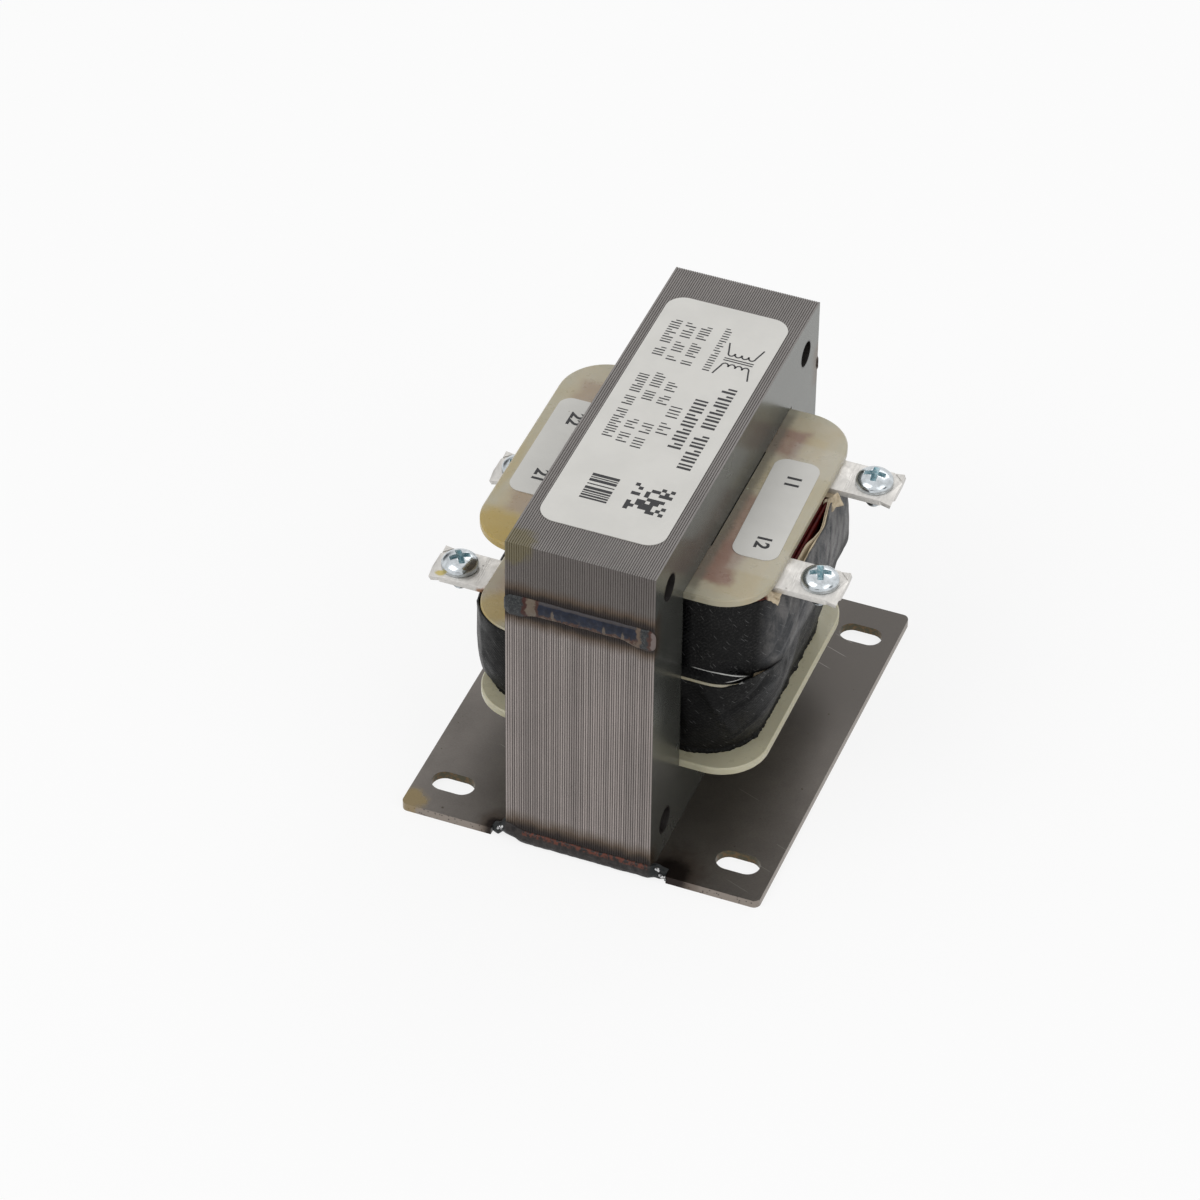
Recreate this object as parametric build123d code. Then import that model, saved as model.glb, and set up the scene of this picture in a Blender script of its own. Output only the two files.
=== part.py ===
from build123d import *
import math
import os

os.makedirs("parts", exist_ok=True)

# Small chassis transformer on a slotted base plate. Millimetres.
# The origin is the middle of the base plate's underside. +Z is up, Y runs along the core's
# length and X across the stack, with the primary terminals at +X and the secondary at -X.

# Core of E and I sheets
centre_leg = 31.75
side_leg = 15.875
window_width = 15.875
window_height = 47.625
yoke_height = 15.875
sheet_pitch = 0.5
sheet_count = 64
edge_groove_width = 0.18
edge_groove_depth = 0.14
core_hole_diameter = 5.6
core_hole_inset = 7.94

# Base plate
base_thickness = 1.9
base_width = 79.4
base_corner_radius = 1.5
slot_length = 9.5
slot_width = 5.6
slot_inset_x = 7.95
slot_inset_y = 9.525
weld_notch_depth = 2.4
weld_notch_overrun = 3.4

# Weld beads
joint_bead_height = 5.2
joint_bead_rise = 1.0
joint_bead_overrun = 0.6
base_bead_height = 2.5
base_bead_rise = 1.0
base_bead_floor = 0.2
base_bead_overrun = 0.5
bead_facets = 4
ripple_pitch = 3.0
ripple_drop = 0.22

# Bobbin with three flanges
bobbin_clearance = 0.15
bobbin_end_clearance = 0.2
bobbin_wall = 1.75
bobbin_corner_radius = 1.0
flange_thickness = 1.6
flange_reach = 15.6
flange_side_clearance = 0.35
flange_corner_radius = 10.5
flange_edge_chamfer = 0.3
secondary_section_height = 21.3

# Windings, paper and tape
primary_side_gap = 2.575
primary_bow = 1.6
secondary_side_gap = 4.575
primary_corner_radius = 9.5
secondary_corner_radius = 12.0
layer_gap = 0.1
paper_thickness = 0.4
tape_thickness = 0.4
tape_edge_drop = 0.9
primary_foot_flare = 1.8
primary_paper_flare = 4.3
primary_tape_flare = 5.5
open_side_depth = 3.5
secondary_taper = 3.0
secondary_right_flare = 2.6
secondary_left_flare = 1.2
strap_notch_margin = 0.4

# Terminals, seen along their length from the coil out
terminal_width = 9.6
terminal_thickness = 1.3
terminal_root = 10.6
terminal_overhang = 13.3
terminal_spacing = 33.2
secondary_terminal_shift = 1.9
terminal_screw_inset = 5.3
ear_size = 2.6
raised_ear_angle = 15
lowered_ear_angle = 24

# Pan-head screws
screw_diameter = 4.17
screw_clearance = 0.05
screw_stick_out = 3.9
screw_head_diameter = 7.9
screw_head_rim = 1.1
screw_head_height = 2.9
screw_end_chamfer = 0.5
screw_head_flat = 4.8
dome_facets = 2
recess_length = 4.4
recess_width = 1.1
recess_depth = 1.7

# Leads and the paper under the primary terminals
primary_wire_diameter = 0.9
secondary_wire_diameter = 1.7
lead_rise = 12.0
lead_reach = 1.8
lead_clearance = 0.2
lead_paper_thickness = 0.25
lead_paper_margin = 1.4
lead_paper_overhang = 1.6

# Labels
label_thickness = 0.15
rating_label_width = 26.8
rating_label_length = 77.0
rating_label_radius = 4.0
terminal_label_width = 9.8
terminal_label_length = 32.0
terminal_label_radius = 2.8
terminal_label_inset = 7.2
primary_label_shift = -0.5
primary_label_turn = 2.0
secondary_label_shift = 1.2

# Places that follow from the sizes above
stack = sheet_pitch * sheet_count
core_length = centre_leg + 2 * window_width + 2 * side_leg
e_height = yoke_height + window_height
core_height = e_height + yoke_height
window_floor = base_thickness + yoke_height
joint_level = base_thickness + e_height
core_top = base_thickness + core_height
base_length = core_length

tube_inner_x = stack / 2 + bobbin_clearance
tube_inner_y = centre_leg / 2 + bobbin_clearance
tube_x = tube_inner_x + bobbin_wall
tube_y = tube_inner_y + bobbin_wall
flange_x = stack / 2 + flange_reach
flange_y = centre_leg / 2 + window_width - flange_side_clearance
bobbin_top = joint_level - bobbin_end_clearance
top_flange_under = bobbin_top - flange_thickness
mid_flange_under = window_floor + flange_thickness + secondary_section_height
mid_flange_top = mid_flange_under + flange_thickness
low_flange_top = window_floor + flange_thickness

primary_build = window_width - bobbin_clearance - bobbin_wall - primary_side_gap
secondary_build = window_width - bobbin_clearance - bobbin_wall - secondary_side_gap
primary_strap_under = top_flange_under - terminal_thickness
secondary_strap_under = mid_flange_under - terminal_thickness
primary_winding_top = primary_strap_under - lead_paper_thickness
secondary_winding_top = secondary_strap_under - layer_gap
primary_reach = tube_x + primary_build + primary_bow
secondary_reach = tube_x + secondary_build
terminal_start = flange_x - terminal_root
terminal_tip = flange_x + terminal_overhang
screw_place = terminal_tip - terminal_screw_inset

primary_places = (-terminal_spacing / 2, terminal_spacing / 2)
secondary_places = tuple(y + secondary_terminal_shift for y in primary_places)


# Core

def sheet_edges(length):
    """Points along one row of sheet edges, (distance across the stack, depth), from low X to high X."""
    points = []
    for sheet in range(sheet_count):
        low = -stack / 2 + sheet * sheet_pitch
        high = low + sheet_pitch
        points += [(low + edge_groove_width / 2, 0.0), (high - edge_groove_width / 2, 0.0)]
        if sheet < sheet_count - 1:
            points.append((high, edge_groove_depth))
    points[0] = (-stack / 2, 0.0)
    points[-1] = (stack / 2, 0.0)
    return [(x, length - depth) for x, depth in points]


def stack_plan():
    """The stack from above, with a fine groove between sheets at the front and the rear."""
    rear = sheet_edges(core_length / 2)
    front = [(x, -y) for x, y in rear]
    return Polygon(*front, *reversed(rear), align=None)


def core_holes(level):
    """Bolt holes through the stack near both ends, at the given height."""
    reach = core_length / 2 - core_hole_inset
    hole = Rot(0, 90, 0) * Cylinder(core_hole_diameter / 2, stack + 2)
    return [Pos(0, y, level) * hole for y in (-reach, reach)]


def e_laminations():
    """E sheets: the back lies on the base plate and the three legs stand up from it."""
    body = Pos(0, 0, base_thickness) * extrude(stack_plan(), e_height)
    window = Box(stack + 2, window_width, window_height, align=(Align.CENTER, Align.CENTER, Align.MIN))
    middle = centre_leg / 2 + window_width / 2
    body -= [Pos(0, y, window_floor) * window for y in (-middle, middle)]
    return body - core_holes(base_thickness + core_hole_inset)


def i_laminations():
    """I sheets: the yoke across the legs, with the sheet edges showing on its top too."""
    plan = Pos(0, 0, joint_level) * extrude(stack_plan(), yoke_height)
    crest = sheet_edges(yoke_height)
    section = Polygon(*crest, (stack / 2, 0), (-stack / 2, 0), align=None)
    ridge = extrude(Plane.XZ * section, core_length / 2 + 1, both=True)
    return (plan & Pos(0, 0, joint_level) * ridge) - core_holes(core_top - core_hole_inset)


# Base plate

def base_plate():
    """Sheet-steel plate with four slots and a notch at each end for the weld to the core."""
    plan = RectangleRounded(base_width, base_length, base_corner_radius)
    reach_x = base_width / 2 - slot_inset_x
    reach_y = base_length / 2 - slot_inset_y
    plan -= [Pos(x, y) * SlotOverall(slot_length, slot_width)
             for x in (-reach_x, reach_x) for y in (-reach_y, reach_y)]
    notch = Rectangle(stack + 2 * weld_notch_overrun, 2 * weld_notch_depth)
    plan -= [Pos(0, y) * notch for y in (-base_length / 2, base_length / 2)]
    return extrude(plan, base_thickness)


# Welds

def bead_face(low, high, rise):
    """Points of a bead's outer face in the YZ plane, from low to high, each (y, z), bulging to -Y."""
    points = []
    for step in range(bead_facets + 1):
        share = step / bead_facets
        bulge = rise * math.sin(math.pi * share)
        points.append((low[0] + share * (high[0] - low[0]) - bulge, low[1] + share * (high[1] - low[1])))
    return points


def rippled(profile, length):
    """A bead along X through a profile drawn for each rise, high and low by turns as a weld ripples."""
    ripples = max(2, round(length / ripple_pitch))
    step = length / ripples
    sections = []
    for index in range(2 * ripples + 1):
        drop = 0 if index % 2 else ripple_drop
        place = -length / 2 + index * step / 2
        sections.append(Pos(place, 0, 0) * (Plane.YZ * Polygon(*profile(drop), align=None)))
    return loft(sections, ruled=True)


def joint_weld():
    """Bead that closes the joint of the E and I sheets, at the front."""
    face = -core_length / 2
    half = joint_bead_height / 2

    def profile(drop):
        return bead_face((face, joint_level - half), (face, joint_level + half), joint_bead_rise - drop)
    return rippled(profile, stack + 2 * joint_bead_overrun)


def base_weld():
    """Bead under the front of the core that fills the plate's notch and climbs the sheets."""
    face = -core_length / 2
    inner = face + weld_notch_depth

    def profile(drop):
        low = (face, base_bead_floor)
        high = (face, base_thickness + base_bead_height)
        seat = [(face, base_thickness), (inner, base_thickness), (inner, base_bead_floor)]
        return bead_face(low, high, base_bead_rise - drop) + seat
    return rippled(profile, stack + 2 * base_bead_overrun)


def rear_of(weld):
    """The same bead at the rear of the core."""
    return Rot(0, 0, 180) * weld


# Coil

def bobbin():
    """Nylon bobbin: a square tube round the centre leg and three rounded flanges with eased top rims."""
    height = bobbin_top - window_floor
    tube = RectangleRounded(2 * tube_x, 2 * tube_y, bobbin_corner_radius)
    body = Pos(0, 0, window_floor) * extrude(tube, height)
    outline = RectangleRounded(2 * flange_x, 2 * flange_y, flange_corner_radius)
    for level in (window_floor, mid_flange_under, top_flange_under):
        flange = Pos(0, 0, level) * extrude(outline, flange_thickness)
        rim = flange.faces().sort_by(Axis.Z)[-1].edges()
        body += chamfer(rim, flange_edge_chamfer)
    bore = Box(2 * tube_inner_x, 2 * tube_inner_y, 3 * height)
    return body - Pos(0, 0, window_floor) * bore


def coil_section(build, corner_radius, offset, level, push):
    """Rounded outline of a coil layer; push moves out all its sides, its +X side and its -X side."""
    taper, high_x, low_x = push
    width = 2 * (tube_x + build + offset + taper) + high_x + low_x
    outline = RectangleRounded(width, 2 * (tube_y + build + offset + taper), corner_radius + offset)
    return Pos((high_x - low_x) / 2, 0, level) * outline


def winding(build, corner_radius, bow, low, high):
    """A winding as one solid ring round the bobbin's tube, its +X side bowed out."""
    outer = coil_section(build, corner_radius, 0, low, (0, bow, 0))
    inner = Pos(0, 0, low) * RectangleRounded(2 * tube_x, 2 * tube_y, bobbin_corner_radius)
    return extrude(outer - inner, high - low)


def wrap(build, corner_radius, inner, thickness, low, high, foot, head_in, head_out):
    """A wrap round a winding; foot, head_in and head_out say how its ends are pushed out."""
    def wall(offset, head):
        lower = coil_section(build, corner_radius, offset, low, foot)
        upper = coil_section(build, corner_radius, offset, high, head)
        return loft([lower, upper], ruled=True)
    return wall(inner + thickness, head_out) - wall(inner, head_in)


def primary_wraps():
    """Paper and tape round the primary; at +X they lean out and stop below the terminals."""
    coil = (primary_build, primary_corner_radius)
    low = mid_flange_top + layer_gap
    high = top_flange_under - layer_gap
    foot = (0, primary_foot_flare, 0)
    paper_out = (0, primary_tape_flare - layer_gap, 0)
    paper_in = (0, primary_paper_flare, 0)
    tape_push = (0, primary_tape_flare, 0)
    paper = wrap(*coil, layer_gap, paper_thickness, low, high, foot, paper_in, paper_out)
    tape = wrap(*coil, 2 * layer_gap + paper_thickness, tape_thickness, low, high, foot, tape_push, tape_push)
    opening = Box(flange_x, 3 * flange_y, flange_y, align=(Align.MIN, Align.CENTER, Align.MIN))
    start = tube_x + primary_build - open_side_depth
    paper -= Pos(start, 0, primary_winding_top) * opening
    tape -= Pos(start, 0, primary_winding_top - tape_edge_drop) * opening
    return paper, tape


def secondary_wraps():
    """Paper and tape round the secondary, drawn out towards the middle flange, notched for the straps."""
    coil = (secondary_build, secondary_corner_radius)
    low = low_flange_top + layer_gap
    high = mid_flange_under - layer_gap
    foot = (0, 0, secondary_left_flare)
    head = (secondary_taper, secondary_right_flare, secondary_left_flare)
    paper = wrap(*coil, layer_gap, paper_thickness, low, high, foot, head, head)
    tape = wrap(*coil, 2 * layer_gap + paper_thickness, tape_thickness, low, high, foot, head, head)
    notch = Box(flange_x, terminal_width + 2 * strap_notch_margin, flange_y,
                align=(Align.MAX, Align.CENTER, Align.MIN))
    notches = [Pos(-tube_x / 2, y, secondary_winding_top) * notch for y in secondary_places]
    return paper - notches, tape - notches


# Terminals

def folded_ear(side, angle):
    """Triangular corner of the strap's tip, turned up along its long edge, or down by a negative angle."""
    corner = Polygon((0, 0), (-ear_size, 0), (0, -side * ear_size), align=None)
    plate = extrude(corner, terminal_thickness, dir=(0, 0, 1))
    hinge_level = 0 if angle > 0 else terminal_thickness
    hinge = Axis((-ear_size, 0, hinge_level), (ear_size, -side * ear_size, 0))
    return plate.rotate(hinge, side * angle)


def terminal_strap(raised_side):
    """Tinned strap along +X from the coil, one corner of its tip turned up and the other down."""
    half = terminal_width / 2
    shoulder = terminal_tip - ear_size
    fold = half - ear_size
    outline = Polygon((terminal_start, -half), (shoulder, -half), (terminal_tip, -fold), (terminal_tip, fold),
                      (shoulder, half), (terminal_start, half), align=None)
    strap = extrude(outline, terminal_thickness)
    for side, angle in ((raised_side, raised_ear_angle), (-raised_side, -lowered_ear_angle)):
        strap += Pos(terminal_tip, side * half, 0) * folded_ear(side, angle)
    hole = Cylinder(screw_diameter / 2 + screw_clearance, 4 * terminal_thickness)
    return strap - Pos(screw_place, 0, 0) * hole


def terminal_screw():
    """Pan-head screw with a cross recess, seated on the strap's top."""
    radius = screw_diameter / 2
    head_radius = screw_head_diameter / 2
    low = -terminal_thickness - screw_stick_out
    shoulder = head_radius * math.sqrt(1 - (screw_head_flat / screw_head_diameter) ** 2)
    dome = []
    for step in range(1, dome_facets + 1):
        share = step / dome_facets
        place = math.sqrt(head_radius ** 2 - (share * shoulder) ** 2)
        dome.append((place, screw_head_rim + share * (screw_head_height - screw_head_rim)))
    outline = [(0, low), (radius - screw_end_chamfer, low), (radius, low + screw_end_chamfer), (radius, 0),
               (head_radius, 0), (head_radius, screw_head_rim), *dome, (0, screw_head_height)]
    body = revolve(Plane.XZ * Polygon(*outline, align=None), Axis.Z)
    arm = Rectangle(recess_length, recess_width)
    cross = extrude(arm + Rot(0, 0, 90) * arm, 2 * recess_depth, dir=(0, 0, 1))
    return body - Pos(0, 0, screw_head_height - recess_depth) * cross


def placed(piece, side, place, level):
    """A terminal piece at +X or -X, at its place along Y, with the strap's top at the given level."""
    turn = 0 if side > 0 else 180
    return Pos(0, place, level) * Rot(0, 0, turn) * piece


def lead(coil_reach, wire_diameter, side, place, strap_under):
    """Winding's end: up the coil's side and out along the underside of its terminal."""
    radius = wire_diameter / 2
    near = side * (coil_reach + radius)
    top = strap_under - radius
    far = near + side * lead_reach
    path = Polyline((near, place, top - lead_rise), (near, place, top), (far, place, top))
    return sweep(Plane(path @ 0, z_dir=path % 0) * Circle(radius), path=path, transition=Transition.RIGHT)


def lead_paper(place):
    """Paper slip between a primary terminal and the winding, slit for the lead."""
    low = terminal_start
    high = flange_x + lead_paper_overhang
    width = terminal_width + 2 * lead_paper_margin
    slip = Rectangle(high - low, width)
    slip = Pos((low + high) / 2, place) * slip
    radius = primary_wire_diameter / 2
    wire_x = primary_reach + radius
    slit = SlotCenterToCenter(2 * lead_reach, primary_wire_diameter + 2 * lead_clearance)
    slip -= Pos(wire_x + lead_reach, place) * slit
    return Pos(0, 0, primary_strap_under - lead_paper_thickness) * extrude(slip, lead_paper_thickness)


# Labels

def label(width, length, radius, x, y, level, turn=0):
    """A sticker with rounded corners lying on a level face, turned by some degrees."""
    sticker = extrude(RectangleRounded(width, length, radius), label_thickness)
    return Pos(x, y, level) * Rot(0, 0, turn) * sticker


def labels():
    """Rating label on the yoke and a terminal label on each side of the top flange."""
    reach = flange_x - terminal_label_inset
    size = (terminal_label_width, terminal_label_length, terminal_label_radius)
    return {
        "rating_label": label(rating_label_width, rating_label_length, rating_label_radius, 0, 0, core_top),
        "primary_label": label(*size, reach, primary_label_shift, bobbin_top, primary_label_turn),
        "secondary_label": label(*size, -reach, secondary_label_shift, bobbin_top),
    }


# All pieces

def pieces():
    """Every piece of the transformer by its node name."""
    made = {"base_plate": base_plate(), "e_laminations": e_laminations(), "i_laminations": i_laminations(),
            "bobbin": bobbin()}
    made["primary_winding"] = winding(primary_build, primary_corner_radius, primary_bow,
                                      mid_flange_top, primary_winding_top)
    made["secondary_winding"] = winding(secondary_build, secondary_corner_radius, 0,
                                        low_flange_top, secondary_winding_top)
    made["primary_paper_wrap"], made["primary_tape_wrap"] = primary_wraps()
    made["secondary_paper_wrap"], made["secondary_tape_wrap"] = secondary_wraps()
    made["front_joint_weld"] = joint_weld()
    made["rear_joint_weld"] = rear_of(joint_weld())
    made["front_base_weld"] = base_weld()
    made["rear_base_weld"] = rear_of(base_weld())
    coils = (("primary", 1, primary_reach, primary_strap_under, primary_places, primary_wire_diameter),
             ("secondary", -1, secondary_reach, secondary_strap_under, secondary_places,
              secondary_wire_diameter))
    for coil, side, reach, under, places, wire in coils:
        for end, place in zip(("front", "rear"), places):
            made[f"{coil}_{end}_terminal"] = placed(terminal_strap(side), side, place, under)
            screw = Pos(screw_place, 0, terminal_thickness) * terminal_screw()
            made[f"{coil}_{end}_screw"] = placed(screw, side, place, under)
            made[f"{coil}_{end}_lead"] = lead(reach, wire, side, place, under)
    for end, place in zip(("front", "rear"), primary_places):
        made[f"{end}_lead_paper"] = lead_paper(place)
    made.update(labels())
    return made


for name, piece in pieces().items():
    export_step(piece, f"parts/{name}.step")
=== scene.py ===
"""Looks of a small chassis transformer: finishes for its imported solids, and detailed pieces in place."""

import math
import random

import bmesh
import bpy
from bpy.props import FloatProperty, FloatVectorProperty, IntProperty, PointerProperty
from mathutils import Euler, Matrix, Vector, noise


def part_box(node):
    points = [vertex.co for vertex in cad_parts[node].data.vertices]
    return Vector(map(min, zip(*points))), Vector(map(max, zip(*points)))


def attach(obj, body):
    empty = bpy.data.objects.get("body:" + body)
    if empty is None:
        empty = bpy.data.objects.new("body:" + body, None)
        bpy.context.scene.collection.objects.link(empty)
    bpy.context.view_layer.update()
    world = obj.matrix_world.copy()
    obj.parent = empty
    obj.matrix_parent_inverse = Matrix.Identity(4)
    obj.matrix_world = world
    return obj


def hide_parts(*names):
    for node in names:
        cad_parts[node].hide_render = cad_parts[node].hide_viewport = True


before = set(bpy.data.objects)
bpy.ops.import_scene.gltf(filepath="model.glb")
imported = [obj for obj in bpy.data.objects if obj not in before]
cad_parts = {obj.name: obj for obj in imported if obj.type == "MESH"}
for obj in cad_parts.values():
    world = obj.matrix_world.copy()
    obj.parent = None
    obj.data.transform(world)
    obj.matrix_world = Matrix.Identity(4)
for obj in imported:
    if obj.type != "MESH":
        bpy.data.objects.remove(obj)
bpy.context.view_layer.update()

bl_info = {
    "name": "Chassis Transformer",
    "version": (1, 0, 0),
    "blender": (4, 5, 0),
    "location": "3D View > Sidebar > Transformer",
    "description": "Finishes and detailed pieces of a small transformer with a laminated core",
    "category": "Object",
}

MM = 0.001
BODY = "root"


def box_mm(node):
    """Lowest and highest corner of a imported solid, in millimetres."""
    low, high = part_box(node)
    return low / MM, high / MM


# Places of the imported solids, in millimetres

PLATE = box_mm("base_plate")
E_STACK = box_mm("e_laminations")
I_STACK = box_mm("i_laminations")
BOBBIN = box_mm("bobbin")
PRIMARY = box_mm("primary_winding")
SECONDARY = box_mm("secondary_winding")
PRIMARY_HEIGHT = PRIMARY[1].z - PRIMARY[0].z
JOINT_LEVEL = E_STACK[1].z
CORE_TOP = I_STACK[1].z
FACE_Y = E_STACK[1].y
SIDE_X = E_STACK[1].x
FLANGE_WALL = 1.6
FLANGE_X = BOBBIN[1].x
FLANGE_Y = BOBBIN[1].y
TOP_FLANGE = (BOBBIN[1].z - FLANGE_WALL, BOBBIN[1].z)
MID_FLANGE = (PRIMARY[0].z - FLANGE_WALL, PRIMARY[0].z)
LOW_FLANGE = (BOBBIN[0].z, SECONDARY[0].z)

# Sizes of the pieces, in millimetres

MERGE = 1e-4            # vertices closer than this are one
CAD_MERGE = 1e-3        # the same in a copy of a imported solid
FAR = 99.0              # past every side of the transformer
SHARP_ANGLE = 35.0      # degrees between the faces of an edge that is rounded
E_BOLT_LEVEL = 9.84     # middle of the bolt holes in the E sheets
I_BOLT_LEVEL = CORE_TOP - 7.94
BOLT_RADIUS = 3.1
COIL_CORNER = 9.5
LOWER_CORNER = 12.0
LEFT_DRAW = 4.4         # how far the upper coil is drawn in on its left
COIL_GIRTH = 216.0      # length of the flat map round a coil
TAPE_OFFSET = 0.75      # outer face of a tape over its winding
PAPER_OFFSET = 0.3      # outer face of a paper over its winding
PAPER_THICKNESS = 0.2
STRAP_HALF = 4.8        # half the width of a terminal strap
FOLD_SLOPE = math.tan(math.radians(15))     # rise of a strap's folded corner
HEAD_HEIGHT = 2.9
HEAD_RIM = 1.0          # height of the upright rim under a screw's dome
DOME_RADIUS = 3.95
RECESS_REACH = 2.7
SHANK_RADIUS = 2.08
SHANK_TIP = 0.6         # length of the tapered tip
SHANK_PLAIN = 1.3       # length without thread under the head
THREAD_DEPTH = 0.42
INK_HEIGHT = 0.03       # printed bars over their label
INK_SINK = 0.01         # and into it
NUMERAL_HEIGHT = 4.2


# Sizes and colours that a user would change

def colour(label, text, value):
    """A colour setting."""
    return FloatVectorProperty(name=label, description=text, subtype="COLOR", size=3, min=0.0, max=1.0,
                               default=value)


def length(label, text, value):
    """A length setting, in millimetres."""
    return FloatProperty(name=label, description=text, default=value, min=0.0, unit="NONE")


class CoreLook(bpy.types.PropertyGroup):
    """Steel of the core and its plate."""

    plate: colour("Plate steel", "Rolled sheet of the base plate", (0.150, 0.136, 0.124))
    edges: colour("Sheet edges", "Cut edges of the E sheets", (0.243, 0.214, 0.201))
    yoke_edges: colour("Yoke edges", "Cut edges of the I sheets at the front", (0.134, 0.119, 0.111))
    yoke_top: colour("Yoke top", "Cut edges of the I sheets on top", (0.188, 0.175, 0.168))
    side: colour("Sheet face", "Coated flat face of the outer sheets", (0.125, 0.128, 0.114))
    burnt: colour("Burnt steel", "Scale beside the welds", (0.020, 0.014, 0.012))
    straw: colour("Heat tint", "Brown tint further from the welds", (0.098, 0.064, 0.038))
    pitch: length("Sheet pitch", "Thickness of one sheet with its coating, in mm", 0.5)


class WeldLook(bpy.types.PropertyGroup):
    """Weld beads."""

    oxide: colour("Blue oxide", "Main colour of the upper beads", (0.007, 0.009, 0.018))
    bare: colour("Bare weld", "Silvery ends of the beads", (0.062, 0.066, 0.066))
    scale: colour("Beige scale", "Pale patches on the beads", (0.135, 0.106, 0.080))
    rust: colour("Rust", "Red line along the lower beads", (0.150, 0.040, 0.022))
    rise: length("Bead rise", "Height of the beads over the sheet edges, in mm", 0.85)


class CoilLook(bpy.types.PropertyGroup):
    """Bobbin, windings, paper and tape."""

    nylon: colour("Nylon", "Moulded bobbin", (0.425, 0.365, 0.240))
    blush: colour("Nylon over winding", "Flange with the red winding under it", (0.255, 0.145, 0.105))
    varnish: colour("Varnish", "Dried varnish runs", (0.40, 0.285, 0.070))
    enamel: colour("Enamel", "Red enamelled wire", (0.085, 0.0035, 0.002))
    paper: colour("Paper", "Insulation paper", (0.50, 0.41, 0.28))
    tape: colour("Tape", "Black cloth tape", (0.0035, 0.0035, 0.0036))
    wire: length("Wire diameter", "Enamelled wire of the primary, in mm", 0.9)
    tape_thickness: length("Tape thickness", "Cloth tape, in mm", 0.35)


class TerminalLook(bpy.types.PropertyGroup):
    """Straps and screws."""

    tin: colour("Tin", "Tinned straps", (0.66, 0.64, 0.61))
    zinc: colour("Zinc", "Plated screws", (0.62, 0.66, 0.69))
    recess: colour("Recess", "Bluish plating in the cross recess", (0.16, 0.33, 0.38))
    edge_round: length("Edge rounding", "Rounding of the strap's edges, in mm", 0.16)
    thread_pitch: length("Thread pitch", "Pitch of the screw's thread, in mm", 0.8)


class LabelLook(bpy.types.PropertyGroup):
    """Stickers."""

    stock: colour("Label stock", "White satin stickers", (0.60, 0.59, 0.56))
    ink: colour("Ink", "Printed bars and numbers", (0.014, 0.014, 0.016))
    seed: IntProperty(name="Print seed", description="Shapes of the printed bars", default=7, min=0)


class StageLook(bpy.types.PropertyGroup):
    """Camera, lamps and floor."""

    azimuth: FloatProperty(name="Azimuth", description="Camera's turn about the object", subtype="ANGLE",
                           default=0.36687021)
    elevation: FloatProperty(name="Elevation", description="Camera's height over the floor", subtype="ANGLE",
                             default=0.72047769)
    roll: FloatProperty(name="Roll", description="Camera's turn about its axis", subtype="ANGLE",
                        default=0.01157775)
    distance: FloatProperty(name="Distance", description="Camera to the object", unit="LENGTH",
                            default=1.135733)
    aim: FloatVectorProperty(name="Aim", description="Shift of the view to the right and up, in metres",
                             size=2, precision=4, default=(-0.012794, 0.024276))
    lens: FloatProperty(name="Lens", description="Focal length on a 36 mm sensor, in mm", default=160.195)
    sky: FloatProperty(name="Ambient light", description="Strength of the world's light", default=0.62)
    floor: colour("Floor", "Pale floor", (0.86, 0.86, 0.86))


LOOKS = {"core": CoreLook, "weld": WeldLook, "coil": CoilLook, "terminal": TerminalLook, "label": LabelLook,
         "stage": StageLook}


def look(context, part):
    """The settings of one part of the transformer."""
    return getattr(context.scene, "transformer_" + part)


# Nodes

def put(tree, kind, sockets=None, **settings):
    """A new node; each socket is given a value, or an output to link from."""
    made = tree.nodes.new(kind if kind.startswith("NodeGroup") else "ShaderNode" + kind)
    for name, value in settings.items():
        setattr(made, name, value)
    for name, value in (sockets or {}).items():
        if isinstance(value, bpy.types.NodeSocket):
            tree.links.new(value, made.inputs[name])
        elif made.inputs[name].type == "RGBA" and len(value) == 3:
            made.inputs[name].default_value = (*value, 1.0)
        else:
            made.inputs[name].default_value = value
    return made


def calc(tree, operation, *values, clamp=False):
    """A maths node's result."""
    return put(tree, "Math", dict(enumerate(values)), operation=operation, use_clamp=clamp).outputs[0]


def product(tree, first, *others):
    """Values multiplied together."""
    for other in others:
        first = calc(tree, "MULTIPLY", first, other)
    return first


def inverse(tree, mask):
    """1 where a mask is 0, and 0 where it is 1."""
    return calc(tree, "SUBTRACT", 1.0, mask)


def roughened(tree, value, grain, amount):
    """A value made uneven by noise from 0 to 1."""
    return calc(tree, "MULTIPLY_ADD", calc(tree, "SUBTRACT", grain, 0.5), amount, value)


def move(tree, operation, *values):
    """A vector maths node's vector."""
    return put(tree, "VectorMath", dict(enumerate(values)), operation=operation).outputs[0]


def scaled(tree, vector, amount):
    """A colour or a place times a value."""
    return put(tree, "VectorMath", {0: vector, "Scale": amount}, operation="SCALE").outputs[0]


def mix(tree, amount, first, second, kind="MIX"):
    """Two colours mixed."""
    return put(tree, "Mix", {0: amount, 6: first, 7: second}, data_type="RGBA", blend_type=kind).outputs[2]


def coat(tree, base, tone, mask, strength):
    """A colour laid over another where a mask says, at a share of its full strength."""
    return mix(tree, calc(tree, "MULTIPLY", mask, strength), base, tone)


def fade(tree, value, start, end, low=0.0, high=1.0):
    """A smooth step: low at start and high at end."""
    sockets = {"Value": value, "From Min": start, "From Max": end, "To Min": low, "To Max": high}
    return put(tree, "MapRange", sockets, interpolation_type="SMOOTHSTEP").outputs[0]


def fade_out(tree, value, start, end):
    """A smooth step from 1 at start down to 0 at end."""
    return fade(tree, value, start, end, 1.0, 0.0)


def cloud(tree, place, scale, detail=3.0, rough=0.55):
    """Noise from 0 to 1, with features of about 1/scale mm."""
    sockets = {"Vector": place, "Scale": scale, "Detail": detail, "Roughness": rough}
    return put(tree, "TexNoise", sockets).outputs[0]


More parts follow.
